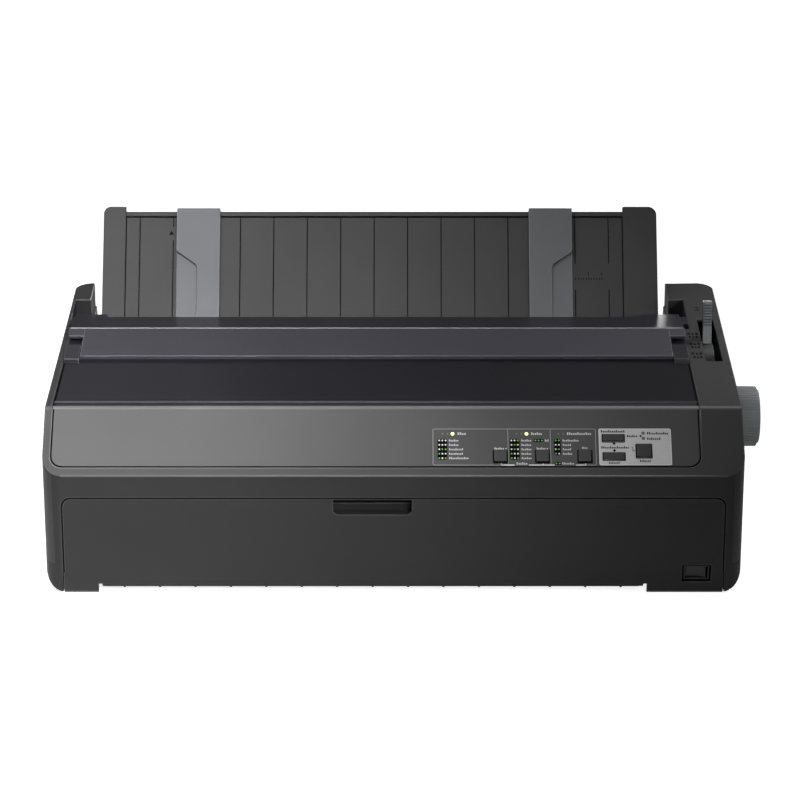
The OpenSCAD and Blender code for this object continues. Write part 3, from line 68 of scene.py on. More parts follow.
def point(x, y, z):
    return Vector(((x - footprint["middleX"]) / 1000, (y - footprint["middleY"]) / 1000, z / 1000))


def millimetres(place):
    # back from the scene's metres to printer coordinates
    return (place.x * 1000 + footprint["middleX"], place.y * 1000 + footprint["middleY"], place.z * 1000)


def tilted(origin, degrees):
    # a drawing plane: X across, Y up the slope, Z out of it, in metres
    turned = Matrix.Rotation(math.radians(degrees), 4, "X")
    return Matrix.Translation(origin) @ turned


panelPlane = tilted(point(0, 0, panel["height"]), panel["slope"])
topPlane = tilted(point(0, top["ridgeY"], top["ridgeZ"]), top["rise"])
guidePlane = tilted(point(0, guide["y"], guide["z"]), 90 - guide["lean"])
frontPlane = tilted(point(0, 0, 0), 90)


def linear(hexColour):
    # sRGB hex to the linear colour that the shaders take
    parts = [int(hexColour[i:i + 2], 16) / 255 for i in (1, 3, 5)]
    return [c / 12.92 if c <= 0.04045 else ((c + 0.055) / 1.055) ** 2.4 for c in parts] + [1.0]


def addNode(material, kind, settings=None, links=None):
    made = material.node_tree.nodes.new(kind)
    for name, value in (settings or {}).items():
        if name in made.inputs:
            made.inputs[name].default_value = value
        else:
            setattr(made, name, value)
    for name, (source, output) in (links or {}).items():
        material.node_tree.links.new(source.outputs[output], made.inputs[name])
    return made


def blankMaterial(name):
    material = bpy.data.materials.new(name)
    material.use_nodes = True
    material.node_tree.nodes.clear()
    return material


def finishMaterial(material, shader):
    addNode(material, "ShaderNodeOutputMaterial", {}, {"Surface": (shader, 0)})
    return material


# Finishes: each starts from the real material and how its surface was made. The real grain and grinding lines
# are finer than the render can show, so they are drawn coarser, at the millimetres that each finish gives.
def mouldedPlastic(name, look):
    # injection-moulded plastic: an even colour, a spark-eroded grain and a soft sheen
    material = blankMaterial(name)
    place = addNode(material, "ShaderNodeTexCoord")
    flow = addNode(material, "ShaderNodeTexNoise", {"Scale": 1000 / look.get("flowMm", 90), "Detail": 2.0},
                   {"Vector": (place, "Object")})
    tint = addNode(material, "ShaderNodeValToRGB", {}, {"Fac": (flow, "Fac")})
    tint.color_ramp.elements[0].position, tint.color_ramp.elements[1].position = 0.3, 0.7
    tint.color_ramp.elements[0].color = linear(look["shade"])
    tint.color_ramp.elements[1].color = linear(look["colour"])
    grain = addNode(material, "ShaderNodeTexNoise", {"Scale": 1000 / look["grainMm"], "Detail": 3.0},
                    {"Vector": (place, "Object")})
    gloss = addNode(material, "ShaderNodeMapRange",
                    {"To Min": look["rough"] - 0.05, "To Max": look["rough"] + 0.05}, {"Value": (grain, "Fac")})
    relief = addNode(material, "ShaderNodeBump",
                     {"Strength": look.get("relief", 0.25), "Distance": look["grainMm"] / 12000},
                     {"Height": (grain, "Fac")})
    shader = addNode(material, "ShaderNodeBsdfPrincipled",
                     {"Specular IOR Level": look.get("specular", 0.4), "IOR": 1.5,
                      "Alpha": look.get("alpha", 1.0)},
                     {"Base Color": (tint, "Color"), "Roughness": (gloss, "Result"),
                      "Normal": (relief, "Normal")})
    return finishMaterial(material, shader)


def workedMetal(name, look):
    # metal with the fine lines of its grinding, rolling or turning, along one axis
    material = blankMaterial(name)
    place = addNode(material, "ShaderNodeTexCoord")
    stretch = addNode(material, "ShaderNodeMapping", {"Scale": look["lines"]}, {"Vector": (place, "Object")})
    lines = addNode(material, "ShaderNodeTexNoise", {"Scale": 1000 / look["lineMm"], "Detail": 4.0},
                    {"Vector": (stretch, "Vector")})
    tint = addNode(material, "ShaderNodeValToRGB", {}, {"Fac": (lines, "Fac")})
    tint.color_ramp.elements[0].position, tint.color_ramp.elements[1].position = 0.35, 0.65
    tint.color_ramp.elements[0].color = linear(look["shade"])
    tint.color_ramp.elements[1].color = linear(look["colour"])
    gloss = addNode(material, "ShaderNodeMapRange",
                    {"To Min": look["rough"] - 0.07, "To Max": look["rough"] + 0.07}, {"Value": (lines, "Fac")})
    relief = addNode(material, "ShaderNodeBump", {"Strength": 0.15, "Distance": look["lineMm"] / 20000},
                     {"Height": (lines, "Fac")})
    shader = addNode(material, "ShaderNodeBsdfPrincipled", {"Metallic": look.get("metallic", 1.0)},
                     {"Base Color": (tint, "Color"), "Roughness": (gloss, "Result"),
                      "Normal": (relief, "Normal")})
    return finishMaterial(material, shader)


def glowingLens(name, look):
    # clear light pipe over a lit lamp: brightest in the middle of its cloudy plastic
    material = blankMaterial(name)
    place = addNode(material, "ShaderNodeTexCoord")
    cloud = addNode(material, "ShaderNodeTexNoise", {"Scale": 1000 / look["cloudMm"], "Detail": 1.0},
                    {"Vector": (place, "Object")})
    glow = addNode(material, "ShaderNodeValToRGB", {}, {"Fac": (cloud, "Fac")})
    glow.color_ramp.elements[0].color = linear(look["shade"])
    glow.color_ramp.elements[1].color = linear(look["colour"])
    shader = addNode(material, "ShaderNodeBsdfPrincipled",
                     {"Base Color": linear(look["colour"]), "Roughness": 0.2,
                      "Emission Strength": look["glow"]},
                     {"Emission Color": (glow, "Color")})
    return finishMaterial(material, shader)


def wovenRibbon(name, look):
    # inked nylon ribbon: crossed threads drawn at 0.8 mm, coarser than the real 0.1 mm, so that they show
    material = blankMaterial(name)
    place = addNode(material, "ShaderNodeTexCoord")
    threads = 1000 / look["threadMm"] / 6.3  # a wave's scale counts in turns of about 6.3
    along = addNode(material, "ShaderNodeTexWave", {"Scale": threads, "bands_direction": "X"},
                    {"Vector": (place, "Object")})
    across = addNode(material, "ShaderNodeTexWave", {"Scale": threads, "bands_direction": "Z"},
                     {"Vector": (place, "Object")})
    both = addNode(material, "ShaderNodeMath", {"operation": "MULTIPLY"})
    material.node_tree.links.new(along.outputs["Fac"], both.inputs[0])
    material.node_tree.links.new(across.outputs["Fac"], both.inputs[1])
    tint = addNode(material, "ShaderNodeValToRGB", {}, {"Fac": (both, "Value")})
    tint.color_ramp.elements[0].color = linear(look["shade"])
    tint.color_ramp.elements[1].color = linear(look["colour"])
    relief = addNode(material, "ShaderNodeBump", {"Strength": 0.4, "Distance": 0.0001},
                     {"Height": (both, "Value")})
    shader = addNode(material, "ShaderNodeBsdfPrincipled", {"Roughness": 0.62},
                     {"Base Color": (tint, "Color"), "Normal": (relief, "Normal")})
    return finishMaterial(material, shader)


finishes = {
    # case mouldings: an eroded grain that spreads each highlight into a soft, even sheen
    "case": mouldedPlastic("charcoal ABS, spark-eroded mould", {"colour": "#2c2c2c", "shade": "#282828",
                           "rough": 0.46, "grainMm": 1.1, "specular": 0.38}),
    # painted shade: a darker copy of the case's charcoal, on the front faces and the lower case
    "case_dark": mouldedPlastic("charcoal ABS, painted darker as shade on the front", {"colour": "#222222", "shade": "#1f1f1f",
                                "rough": 0.5, "grainMm": 1.1, "specular": 0.3}),
    "fascia": mouldedPlastic("dark grey ABS, fine mould texture", {"colour": "#383838", "shade": "#333333",
                             "rough": 0.42, "grainMm": 0.8, "specular": 0.45}),
    # satin foil: a pale sheet with faint lines, brighter than the case but no mirror
    "silver_plate": workedMetal("silver foil on ABS, satin", {"colour": "#b0b0b0", "shade": "#aaaaaa",
                                "rough": 0.5, "lineMm": 1.2, "lines": (0.2, 1, 1), "metallic": 0.25}),
    # keycaps: smoother than the case, so that their edges catch a thin light
    "key": mouldedPlastic("black ABS keycap, satin", {"colour": "#2d2d2d", "shade": "#282828",
                          "rough": 0.36, "grainMm": 0.7, "specular": 0.5}),
    # solder mask: a glossy, slightly blotchy green
    "circuit_board": mouldedPlastic("glass-epoxy board, green solder mask", {"colour": "#1f6a3c",
                                    "shade": "#175430", "rough": 0.3, "grainMm": 1.6, "flowMm": 6,
                                    "specular": 0.5}),
    # unlit light pipe: a glossy greenish grey drop
    "lamp": mouldedPlastic("clear light pipe, unlit", {"colour": "#6f7668", "shade": "#5a6054",
                           "rough": 0.2, "grainMm": 1.0, "specular": 0.6}),
    # smoked covers: deep and slightly violet, with soft reflections; the flap is paler and duller
    "smoked": mouldedPlastic("smoked polycarbonate", {"colour": "#1f1e24", "shade": "#1c1b20",
                             "rough": 0.3, "grainMm": 3.0, "relief": 0.05, "specular": 0.25, "alpha": 0.88}),
    "smoked_back": mouldedPlastic("smoked polycarbonate, painted black behind", {"colour": "#232228",
                                  "shade": "#201f25", "rough": 0.34, "grainMm": 3.0, "relief": 0.05,
                                  "specular": 0.25}),
    "smoked_flap": mouldedPlastic("smoked polycarbonate, fine matt side", {"colour": "#35333b",
                                  "shade": "#302e36", "rough": 0.42, "grainMm": 0.9, "specular": 0.35}),
    # lever and knob: mid grey with a quiet sheen
    "lever_grey": mouldedPlastic("mid grey ABS", {"colour": "#7e8082", "shade": "#76787a",
                                 "rough": 0.46, "grainMm": 0.9, "specular": 0.4}),
    # ground rubber: dull and nearly black, with hardly a highlight
    "platen_rubber": mouldedPlastic("nitrile rubber, ground", {"colour": "#202021", "shade": "#1a1a1b",
                                    "rough": 0.72, "grainMm": 0.9, "relief": 0.5, "specular": 0.3}),
    # ground shafts: bright, with fine rings round them
    "steel": workedMetal("steel shaft, ground bright", {"colour": "#c6c9cc", "shade": "#a9adb1",
                         "rough": 0.24, "lineMm": 0.6, "lines": (1, 0.15, 0.15)}),
    # acetal bearings and gears: creamy white with a waxy sheen
    "bearing_plastic": mouldedPlastic("natural acetal bearing", {"colour": "#d8d2c0", "shade": "#cdc7b4",
                                      "rough": 0.38, "grainMm": 0.8}),
    "gear_plastic": mouldedPlastic("natural acetal gear", {"colour": "#e4e0d4", "shade": "#dad6c9",
                                   "rough": 0.36, "grainMm": 0.8}),
    # zinc plating: cool grey with cloudy patches
    "zinc_steel": workedMetal("zinc-plated steel sheet", {"colour": "#b4b8bb", "shade": "#8f9498",
                              "rough": 0.36, "lineMm": 5, "lines": (1, 0.8, 1)}),
    # glass-filled nylon: matt black, with a stronger grain than the case
    "mech_black": mouldedPlastic("glass-filled nylon, black", {"colour": "#303134", "shade": "#28292b",
                                 "rough": 0.55, "grainMm": 0.8, "relief": 0.4}),
    # anodised casting: dark grey with a dim metallic light
    "head_metal": workedMetal("die-cast aluminium, black anodised", {"colour": "#43464a", "shade": "#37393d",
                              "rough": 0.45, "lineMm": 1.0, "lines": (1, 1, 1), "metallic": 0.6}),
    # polystyrene: black and a little glossy
    "cartridge": mouldedPlastic("black polystyrene cartridge", {"colour": "#212123", "shade": "#1b1b1d",
                                "rough": 0.4, "grainMm": 1.4}),
    "ribbon_cloth": wovenRibbon("inked nylon ribbon", {"colour": "#1d1d22", "shade": "#09090b",
                                "threadMm": 0.8}),
    # enamelled can: black with a soft metallic light
    "motor_black": workedMetal("motor can, black enamel", {"colour": "#36383b", "shade": "#2d2f31",
                               "rough": 0.4, "lineMm": 2.0, "lines": (1, 1, 0.2), "metallic": 0.3}),
    # neoprene: dull black
    "belt_rubber": mouldedPlastic("neoprene toothed belt", {"colour": "#1c1c1d", "shade": "#161617",
                                  "rough": 0.66, "grainMm": 0.8, "relief": 0.5}),
    # hobbed brass: warm yellow with fine lines along the teeth
    "brass_gear": workedMetal("brass pinion, hobbed", {"colour": "#c79f55", "shade": "#a9823c",
                              "rough": 0.28, "lineMm": 0.5, "lines": (0.2, 1, 1)}),
    # tractors: an even dark grey, a little smoother than the case
    "tractor_grey": mouldedPlastic("dark grey polycarbonate tractor", {"colour": "#4d5054", "shade": "#45474b",
                                   "rough": 0.42, "grainMm": 0.9}),
    # paper guide: dark and matt; its edge guides are paler
    "guide_grey": mouldedPlastic("dark grey ABS paper face", {"colour": "#353635", "shade": "#303130",
                                 "rough": 0.5, "grainMm": 1.0, "specular": 0.35}),
    "edge_grey": mouldedPlastic("mid grey ABS edge guide", {"colour": "#66686b", "shade": "#5f6164",
                                "rough": 0.44, "grainMm": 0.9, "specular": 0.4}),
    # phenolic board: tan and blotchy
    "supply_board": mouldedPlastic("paper-phenolic board", {"colour": "#b89a62", "shade": "#a58650",
                                   "rough": 0.45, "grainMm": 1.4, "flowMm": 9}),
    # tinned shell: pale grey, a dim mirror
    "socket_metal": workedMetal("tinned socket shell", {"colour": "#b9bbbd", "shade": "#9b9da0",
                                "rough": 0.3, "lineMm": 1.5, "lines": (0.3, 1, 1)}),
    # rubber feet: black without a sheen
    "foot_rubber": mouldedPlastic("rubber foot", {"colour": "#191919", "shade": "#141414",
                                  "rough": 0.8, "grainMm": 0.9, "relief": 0.5, "specular": 0.25}),
}
# Printing and trim: inks lie flat and matt; black and moulded marks take almost no light and stay dark. The
# black ink is also painted shade in the gaps, grooves, key wells and screw recesses
printed = {
    "line": mouldedPlastic("grey legend ink", {"colour": "#868686", "shade": "#7e7e7e",
                           "rough": 0.55, "grainMm": 0.5}),
    "label": mouldedPlastic("pale legend ink", {"colour": "#b6b6b4", "shade": "#acacaa",
                            "rough": 0.55, "grainMm": 0.5}),
    "black": mouldedPlastic("matt black ink, and painted shade in gaps and recesses", {"colour": "#0c0c0c", "shade": "#080808",
                            "rough": 0.9, "grainMm": 0.5, "specular": 0.04}),
    "white": mouldedPlastic("white legend ink", {"colour": "#e4e4e0", "shade": "#d8d8d4",
                            "rough": 0.5, "grainMm": 0.5}),
    "green": mouldedPlastic("green legend ink", {"colour": "#6fae4c", "shade": "#64a044",
                            "rough": 0.5, "grainMm": 0.5}),
    "bright": mouldedPlastic("bright legend ink", {"colour": "#e0e0e0", "shade": "#d6d6d6",
                             "rough": 0.5, "grainMm": 0.5}),
    "moulded": mouldedPlastic("mark moulded in the case, in shadow", {"colour": "#0f0f0f", "shade": "#0c0c0c",
                              "rough": 0.9, "grainMm": 0.5, "specular": 0.05}),
    # painted highlight: the beads are a thin bright line along the covers' edges; the key plate's rim is a
    # paler silver line round its edge
    "bead": mouldedPlastic("smoked polycarbonate bead, painted highlight", {"colour": "#8f8e96", "shade": "#86858d",
                           "rough": 0.25, "grainMm": 0.6, "relief": 0.05, "specular": 0.6}),
    "silver": mouldedPlastic("silver foil, polished rim", {"colour": "#d4d4d4", "shade": "#cacaca",
                             "rough": 0.3, "grainMm": 0.5, "specular": 0.6}),
    # lit light pipe: glows yellow-green, uneven as cloudy plastic is
    "lit": glowingLens("light pipe, lit yellow-green", {"colour": "#f4ffb4", "shade": "#d2e878",
                       "cloudMm": 3, "glow": 0.9}),
}
print("finishes made:", len(finishes) + len(printed))


def alone(piece):
    if bpy.context.object and bpy.context.object.mode != "OBJECT":
        bpy.ops.object.mode_set(mode="OBJECT")
    bpy.ops.object.select_all(action="DESELECT")
    piece.select_set(True)
    bpy.context.view_layer.objects.active = piece


def startPiece(name):
    # an empty piece in edit mode, into which primitives are added
    piece = bpy.data.objects.new(name, bpy.data.meshes.new(name))
    bpy.context.scene.collection.objects.link(piece)
    alone(piece)
    bpy.ops.object.mode_set(mode="EDIT")
    return piece


def markEdges(mesh, reach, sharp):
    # gives a bevel weight to the outer corners whose faces are wide enough to take it
    shape = bmesh.new()
    shape.from_mesh(mesh)
    layers = shape.edges.layers.float
    weight = layers.get("bevel_weight_edge") or layers.new("bevel_weight_edge")
    for edge in shape.edges:
        edge[weight] = 0.0
    wide = {}
    for face in shape.faces:
        wide[face.index] = face.calc_area() / max(edge.calc_length() for edge in face.edges)
    for edge in shape.edges:
        if len(edge.link_faces) == 2 and edge.is_convex and edge.calc_length() > reach * 1.1:
            narrowest = min(wide[face.index] for face in edge.link_faces)
            if edge.calc_face_angle(0) > sharp and narrowest > reach * 2.2:
                edge[weight] = 1.0
    shape.to_mesh(mesh)
    shape.free()


def roundLine(piece, line):
    # one long edge with a wider radius than the rest, found by its place in Y and Z
    shape = bmesh.new()
    shape.from_mesh(piece.data)
    weight = shape.edges.layers.float.new("bevel_weight_edge")
    place = point(0, line["y"], line["z"])
    for edge in shape.edges:
        if all(math.hypot(v.co.y - place.y, v.co.z - place.z) < 0.0008 for v in edge.verts):
            edge[weight] = 1.0
    shape.to_mesh(piece.data)
    shape.free()
    alone(piece)
    bevel = piece.modifiers.new("rounded line", "BEVEL")
    bevel.limit_method, bevel.width, bevel.segments = "WEIGHT", line["radius"] / 1000, 5
    bevel.use_clamp_overlap = False
    # the rounded line takes slot 1, which holds a paler painted-highlight finish where the plan gives one
    bevel.material = 1
    bpy.ops.object.modifier_apply(modifier="rounded line")


def roundEdges(piece, edgeMm, steps=2, worn=False):
    markEdges(piece.data, edgeMm / 1000, math.radians(28))
    alone(piece)
    bevel = piece.modifiers.new("rounded", "BEVEL")
    bevel.limit_method, bevel.width, bevel.segments = "WEIGHT", edgeMm / 1000, steps
    bevel.use_clamp_overlap, bevel.harden_normals = False, False
    if worn:
        # the rounded edges take slot 1, the paler painted highlight
        bevel.material = 1
    bpy.ops.object.modifier_apply(modifier="rounded")


def smoothShade(piece, degrees=40):
    alone(piece)
    bpy.ops.object.shade_smooth_by_angle(angle=math.radians(degrees))
    weighted = piece.modifiers.new("flat faces stay flat", "WEIGHTED_NORMAL")
    weighted.keep_sharp = True
    bpy.ops.object.modifier_apply(modifier=weighted.name)


def dressed(plan):
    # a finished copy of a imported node: doubles merged, outer corners rounded, its own finish
    nodeName = plan["node"]
    words = nodeName.split("_")
    name = words[0] + "".join(word.capitalize() for word in words[1:])
    mesh = frame["nodes"][nodeName].data.copy()
    mesh.name = name
    piece = bpy.data.objects.new(name, mesh)
    bpy.context.scene.collection.objects.link(piece)
    alone(piece)
    bpy.ops.mesh.customdata_custom_splitnormals_clear()
    bpy.ops.object.mode_set(mode="EDIT")
    bpy.ops.mesh.select_all(action="SELECT")
    bpy.ops.mesh.remove_doubles(threshold=0.000002)
    for x in plan.get("cuts", ()):
        # a cut left in place keeps a forked flat face from being joined across its opening
        bpy.ops.mesh.select_all(action="SELECT")
        bpy.ops.mesh.bisect(plane_co=point(x, 0, 0), plane_no=(1, 0, 0), threshold=0.000001)
        bpy.ops.mesh.mark_seam()
    bpy.ops.mesh.select_all(action="SELECT")
    bpy.ops.mesh.dissolve_limited(angle_limit=math.radians(0.4), delimit={"SEAM"})
    bpy.ops.object.mode_set(mode="OBJECT")
    mesh.materials.clear()
    mesh.materials.append(finishes[plan["finish"]])
    # slot 1: a paler copy of the finish, painted highlight on the rounded edges, where the plan gives one
    mesh.materials.append(plan.get("worn") or finishes[plan["finish"]])
    if plan.get("second"):
        # another finish on the part of the piece that its place picks out
        mesh.materials.append(plan["second"])
        for face in mesh.polygons:
            face.material_index = 2 if plan["where"](millimetres(face.center)) else 0
    if plan.get("ridge"):
        roundLine(piece, plan["ridge"])
    if plan.get("edge"):
        roundEdges(piece, plan["edge"], plan.get("steps", 2), bool(plan.get("worn")))
    smoothShade(piece)
    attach(piece, frame["nodes"][nodeName]["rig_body"])
    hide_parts(nodeName)
    return piece


def closePiece(piece, plane, material, body, degrees=40):
    # lays a piece drawn in millimetres on its plane, and gives it its finish and its body
    if bpy.context.object and bpy.context.object.mode != "OBJECT":
        bpy.ops.object.mode_set(mode="OBJECT")
    piece.data.transform(plane @ Matrix.Scale(0.001, 4))
    piece.data.materials.append(material)
    smoothShade(piece, degrees)
    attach(piece, body)
    return piece


def closePrint(piece, plane, ink, body, lift=0.0, thick=0.08):
    # printing: flat patches given the thickness of their ink, half of it sunk in the surface
    alone(piece)
    piece.data.transform(Matrix.Translation((0, 0, lift)))
    film = piece.modifiers.new("film", "SOLIDIFY")
    film.thickness, film.offset = thick, 0.0
    bpy.ops.object.modifier_apply(modifier="film")
    return closePiece(piece, plane, ink, body)


def addBar(x0, x1, y0, y1, z0, z1):
    bpy.ops.mesh.primitive_cube_add(size=1, location=((x0 + x1) / 2, (y0 + y1) / 2, (z0 + z1) / 2))
    bpy.ops.transform.resize(value=(x1 - x0, y1 - y0, z1 - z0),
                             center_override=((x0 + x1) / 2, (y0 + y1) / 2, (z0 + z1) / 2))


def addPatch(x0, x1, y0, y1):
    middle = ((x0 + x1) / 2, (y0 + y1) / 2, 0)
    bpy.ops.mesh.primitive_plane_add(size=1, location=middle)
    bpy.ops.transform.resize(value=(x1 - x0, y1 - y0, 1), center_override=middle)


def addRing(x0, x1, y0, y1, corner, width):
    # a line drawn round a rectangle with round corners: a plane, its corners bevelled, inset and opened
    bpy.ops.mesh.select_all(action="DESELECT")
    addPatch(x0, x1, y0, y1)
    bpy.ops.mesh.bevel(offset=corner, offset_type="OFFSET", segments=5, affect="VERTICES")
    bpy.ops.mesh.inset(thickness=width, use_even_offset=True)
    bpy.ops.mesh.delete(type="FACE")
    bpy.ops.mesh.select_all(action="DESELECT")


# Marks that repeat are modelled once at a size of 1 mm: a stroke, a dot, a diamond and an arrowhead
def strokeModel():
    model = startPiece("strokeModel")
    addPatch(-0.5, 0.5, -0.5, 0.5)
    bpy.ops.mesh.bevel(offset=0.12, offset_type="OFFSET", segments=2, affect="VERTICES")
    return model


def spotModel(name, sides):
    model = startPiece(name)
    bpy.ops.mesh.primitive_circle_add(vertices=sides, radius=0.5, fill_type="NGON")
    return model


def stamped(name, model, marks):
    # copies of a modelled mark, each with its own mesh, joined as one printing: (x, y, width, height)
    alone(model)
    copies = []
    for x, y, width, height in marks:
        copy = bpy.data.objects.new(name, model.data.copy())
        copy.data.transform(Matrix.Translation((x, y, 0)) @ Matrix.Diagonal((width, height, 1, 1)))
        bpy.context.scene.collection.objects.link(copy)
        copies.append(copy)
    bpy.ops.object.select_all(action="DESELECT")
    for copy in copies:
        copy.select_set(True)
    bpy.context.view_layer.objects.active = copies[0]
    if len(copies) > 1:
        bpy.ops.object.join()
    return copies[0]


def wordStrokes(x, y, width, height):
    # stands for a word: tall and low strokes in a row, too plain to read
    letters = max(2, round(width / (height * 0.7)))
    pitch = width / letters
    marks = []
    for i in range(letters):
        tall = height if i == 0 or (i * 5 + letters) % 4 == 1 else height * 0.7
        marks.append((x + (i + 0.4) * pitch, y - (height - tall) / 2, pitch * 0.66, tall))
    return marks


def strip(x0, x1, y0, y1):
    return ((x0 + x1) / 2, (y0 + y1) / 2, x1 - x0, y1 - y0)


# Edges that hands rub: their grain is smoother, and their colour is painted paler as a highlight, the line of
# light along each edge
greyEdgeHighlight = mouldedPlastic("mid grey ABS, painted edge highlight", {"colour": "#8a8c8e", "shade": "#808284",
                          "rough": 0.34, "grainMm": 0.9, "specular": 0.5})
# painted light: a lighter copy of the lever's grey, for the light falling on the knob
knobLitGrey = mouldedPlastic("mid grey ABS, painted lighter as light on the knob", {"colour": "#8c8e90", "shade": "#828486",
                          "rough": 0.44, "grainMm": 0.9, "specular": 0.4})
caseEdgeHighlight = mouldedPlastic("charcoal ABS, painted edge highlight", {"colour": "#454545", "shade": "#3f3f3f",
                          "rough": 0.34, "grainMm": 1.1, "specular": 0.5})
fasciaEdgeHighlight = mouldedPlastic("dark grey ABS, painted ridge highlight", {"colour": "#5c5c5c", "shade": "#545454",
                            "rough": 0.32, "grainMm": 0.8, "specular": 0.55})
# painted shade: the fascia behind the ridge, under the cover's lip, is a darker copy of its grey
ridgeShadeStrip = mouldedPlastic("dark grey ABS, painted shade behind the ridge", {"colour": "#202020", "shade": "#1c1c1c",
                            "rough": 0.55, "grainMm": 0.8, "specular": 0.2})
coverEdgeHighlight = mouldedPlastic("smoked polycarbonate, painted edge highlight", {"colour": "#45444d", "shade": "#403f48",
                           "rough": 0.3, "grainMm": 0.9, "specular": 0.5})
flapEdgeHighlight = mouldedPlastic("smoked polycarbonate flap, painted edge highlight", {"colour": "#66646e", "shade": "#5f5d67",
                          "rough": 0.3, "grainMm": 0.9, "specular": 0.5})
ridgeLine = {"y": top["ridgeY"], "z": top["ridgeZ"], "radius": 2.6}
# where one finish of a piece ends and the other starts
borders = {"frontWallY": 1.5, "behindRidge": 2, "belowRidge": 1, "coverPaintY": 150.5, "leverHub": 34,
           "knobRimX": 290, "chipZ": 44.2, "supplyPartsZ": 20}
leverPivot = {"y": 203, "z": 128}
shells = [
    {"node": "upper_case", "finish": "case", "edge": 1.1, "steps": 3, "worn": caseEdgeHighlight, "ridge": ridgeLine,
     # the upper case's front wall is painted darker than the rest of the moulding, as shade on the front
     "cuts": (-291, -288, 260.5, 263.5), "second": finishes["case_dark"],
     "where": lambda place: place[1] < borders["frontWallY"]},
    {"node": "lower_case", "finish": "case_dark", "edge": 0.6},
    {"node": "front_cover", "finish": "case_dark", "edge": 0.5, "worn": caseEdgeHighlight},
    {"node": "control_fascia", "finish": "fascia", "edge": 0.5, "ridge": ridgeLine, "worn": fasciaEdgeHighlight,
     # painted shade behind the ridge, under the cover's lip
     "second": ridgeShadeStrip,
     "where": lambda place: place[1] > top["ridgeY"] + borders["behindRidge"]
     and place[2] > top["ridgeZ"] - borders["belowRidge"]},
    {"node": "key_plate", "finish": "silver_plate"},
    {"node": "printer_cover", "finish": "smoked", "edge": 0.4, "worn": coverEdgeHighlight,
     "second": finishes["smoked_back"], "where": lambda place: place[1] > borders["coverPaintY"]},
    {"node": "exit_flap", "finish": "smoked_flap", "edge": 0.5, "worn": flapEdgeHighlight},
    {"node": "release_lever", "finish": "lever_grey", "edge": 0.4, "worn": greyEdgeHighlight, "second": finishes["case"],
     "where": lambda place: math.hypot(place[1] - leverPivot["y"], place[2] - leverPivot["z"])
     < borders["leverHub"]},
    # the knob's outer part is painted lighter, as light falling on it
    {"node": "platen_knob", "finish": "lever_grey", "edge": 0.5, "worn": greyEdgeHighlight, "second": knobLitGrey,
     "where": lambda place: place[0] > borders["knobRimX"]},
    {"node": "paper_guide", "finish": "guide_grey", "edge": 0.5},
    {"node": "edge_guide_left", "finish": "edge_grey", "edge": 0.5, "worn": greyEdgeHighlight},
    {"node": "edge_guide_right", "finish": "edge_grey", "edge": 0.5, "worn": greyEdgeHighlight},
    {"node": "slot_cover", "finish": "zinc_steel", "edge": 0.2},
    {"node": "power_switch", "finish": "mech_black", "edge": 0.3},
    {"node": "power_rocker", "finish": "key", "edge": 0.4},
    {"node": "rear_sockets", "finish": "socket_metal", "edge": 0.3},
    {"node": "feet", "finish": "foot_rubber", "edge": 0.3},
]
keys = [{"node": "key_" + name, "finish": "key", "edge": 0.5, "steps": 3}
        for name in ("font", "pitch", "bin", "load", "feed", "pause")]
mechanism = [
    {"node": "panel_board", "finish": "circuit_board", "edge": 0.15},
    {"node": "panel_lamps", "finish": "lamp"},
    {"node": "platen_roller", "finish": "platen_rubber", "edge": 0.5},
    {"node": "platen_shaft", "finish": "steel", "edge": 0.5},
    {"node": "platen_bushes", "finish": "bearing_plastic", "edge": 0.3},
    {"node": "platen_gear", "finish": "gear_plastic"},
    {"node": "frame_plate_left", "finish": "zinc_steel", "edge": 0.2},
    {"node": "frame_plate_right", "finish": "zinc_steel", "edge": 0.2},
    {"node": "chassis_pan", "finish": "zinc_steel", "edge": 0.2},
    {"node": "carriage_rod", "finish": "steel", "edge": 0.5},
    {"node": "carriage_rail", "finish": "zinc_steel", "edge": 0.2},
    {"node": "carriage", "finish": "mech_black", "edge": 0.4},
    {"node": "print_head", "finish": "head_metal", "edge": 0.2},
    {"node": "ribbon_cartridge", "finish": "cartridge", "edge": 0.6},
    {"node": "ribbon", "finish": "ribbon_cloth"},
    {"node": "ribbon_winder", "finish": "gear_plastic", "edge": 0.3},
    {"node": "carriage_motor", "finish": "motor_black", "edge": 0.4},
    {"node": "motor_pulley", "finish": "steel", "edge": 0.2},
    {"node": "idler_pulley", "finish": "steel", "edge": 0.2},
    {"node": "carriage_belt", "finish": "belt_rubber"},
    {"node": "feed_motor", "finish": "motor_black", "edge": 0.4},
    {"node": "feed_pinion", "finish": "brass_gear"},
    {"node": "feed_idler_gear", "finish": "gear_plastic"},
    {"node": "tractor_idler_gear", "finish": "gear_plastic"},
    {"node": "tractor_gear", "finish": "gear_plastic"},
    {"node": "tractor_drive_shaft", "finish": "steel", "edge": 0.3},
    {"node": "tractor_support_shaft", "finish": "steel", "edge": 0.4},
    {"node": "tractor_left", "finish": "tractor_grey", "edge": 0.4},
    {"node": "tractor_left_cover", "finish": "tractor_grey", "edge": 0.3},
    {"node": "tractor_left_sprocket", "finish": "gear_plastic", "edge": 0.2},
    {"node": "tractor_right", "finish": "tractor_grey", "edge": 0.4},
    {"node": "tractor_right_cover", "finish": "tractor_grey", "edge": 0.3},
    {"node": "tractor_right_sprocket", "finish": "gear_plastic", "edge": 0.2},
    {"node": "pressure_rollers", "finish": "platen_rubber", "edge": 0.3},
    {"node": "main_board", "finish": "circuit_board", "edge": 0.3, "second": finishes["cartridge"],
     "where": lambda place: place[2] > borders["chipZ"]},
    {"node": "power_supply", "finish": "supply_board", "edge": 0.3, "second": finishes["motor_black"],
     "where": lambda place: place[2] > borders["supplyPartsZ"]},
    {"node": "screws", "finish": "zinc_steel", "edge": 0.4},
]
for plan in shells + keys + mechanism:
    dressed(plan)
print("nodes dressed:", len(shells) + len(keys) + len(mechanism))

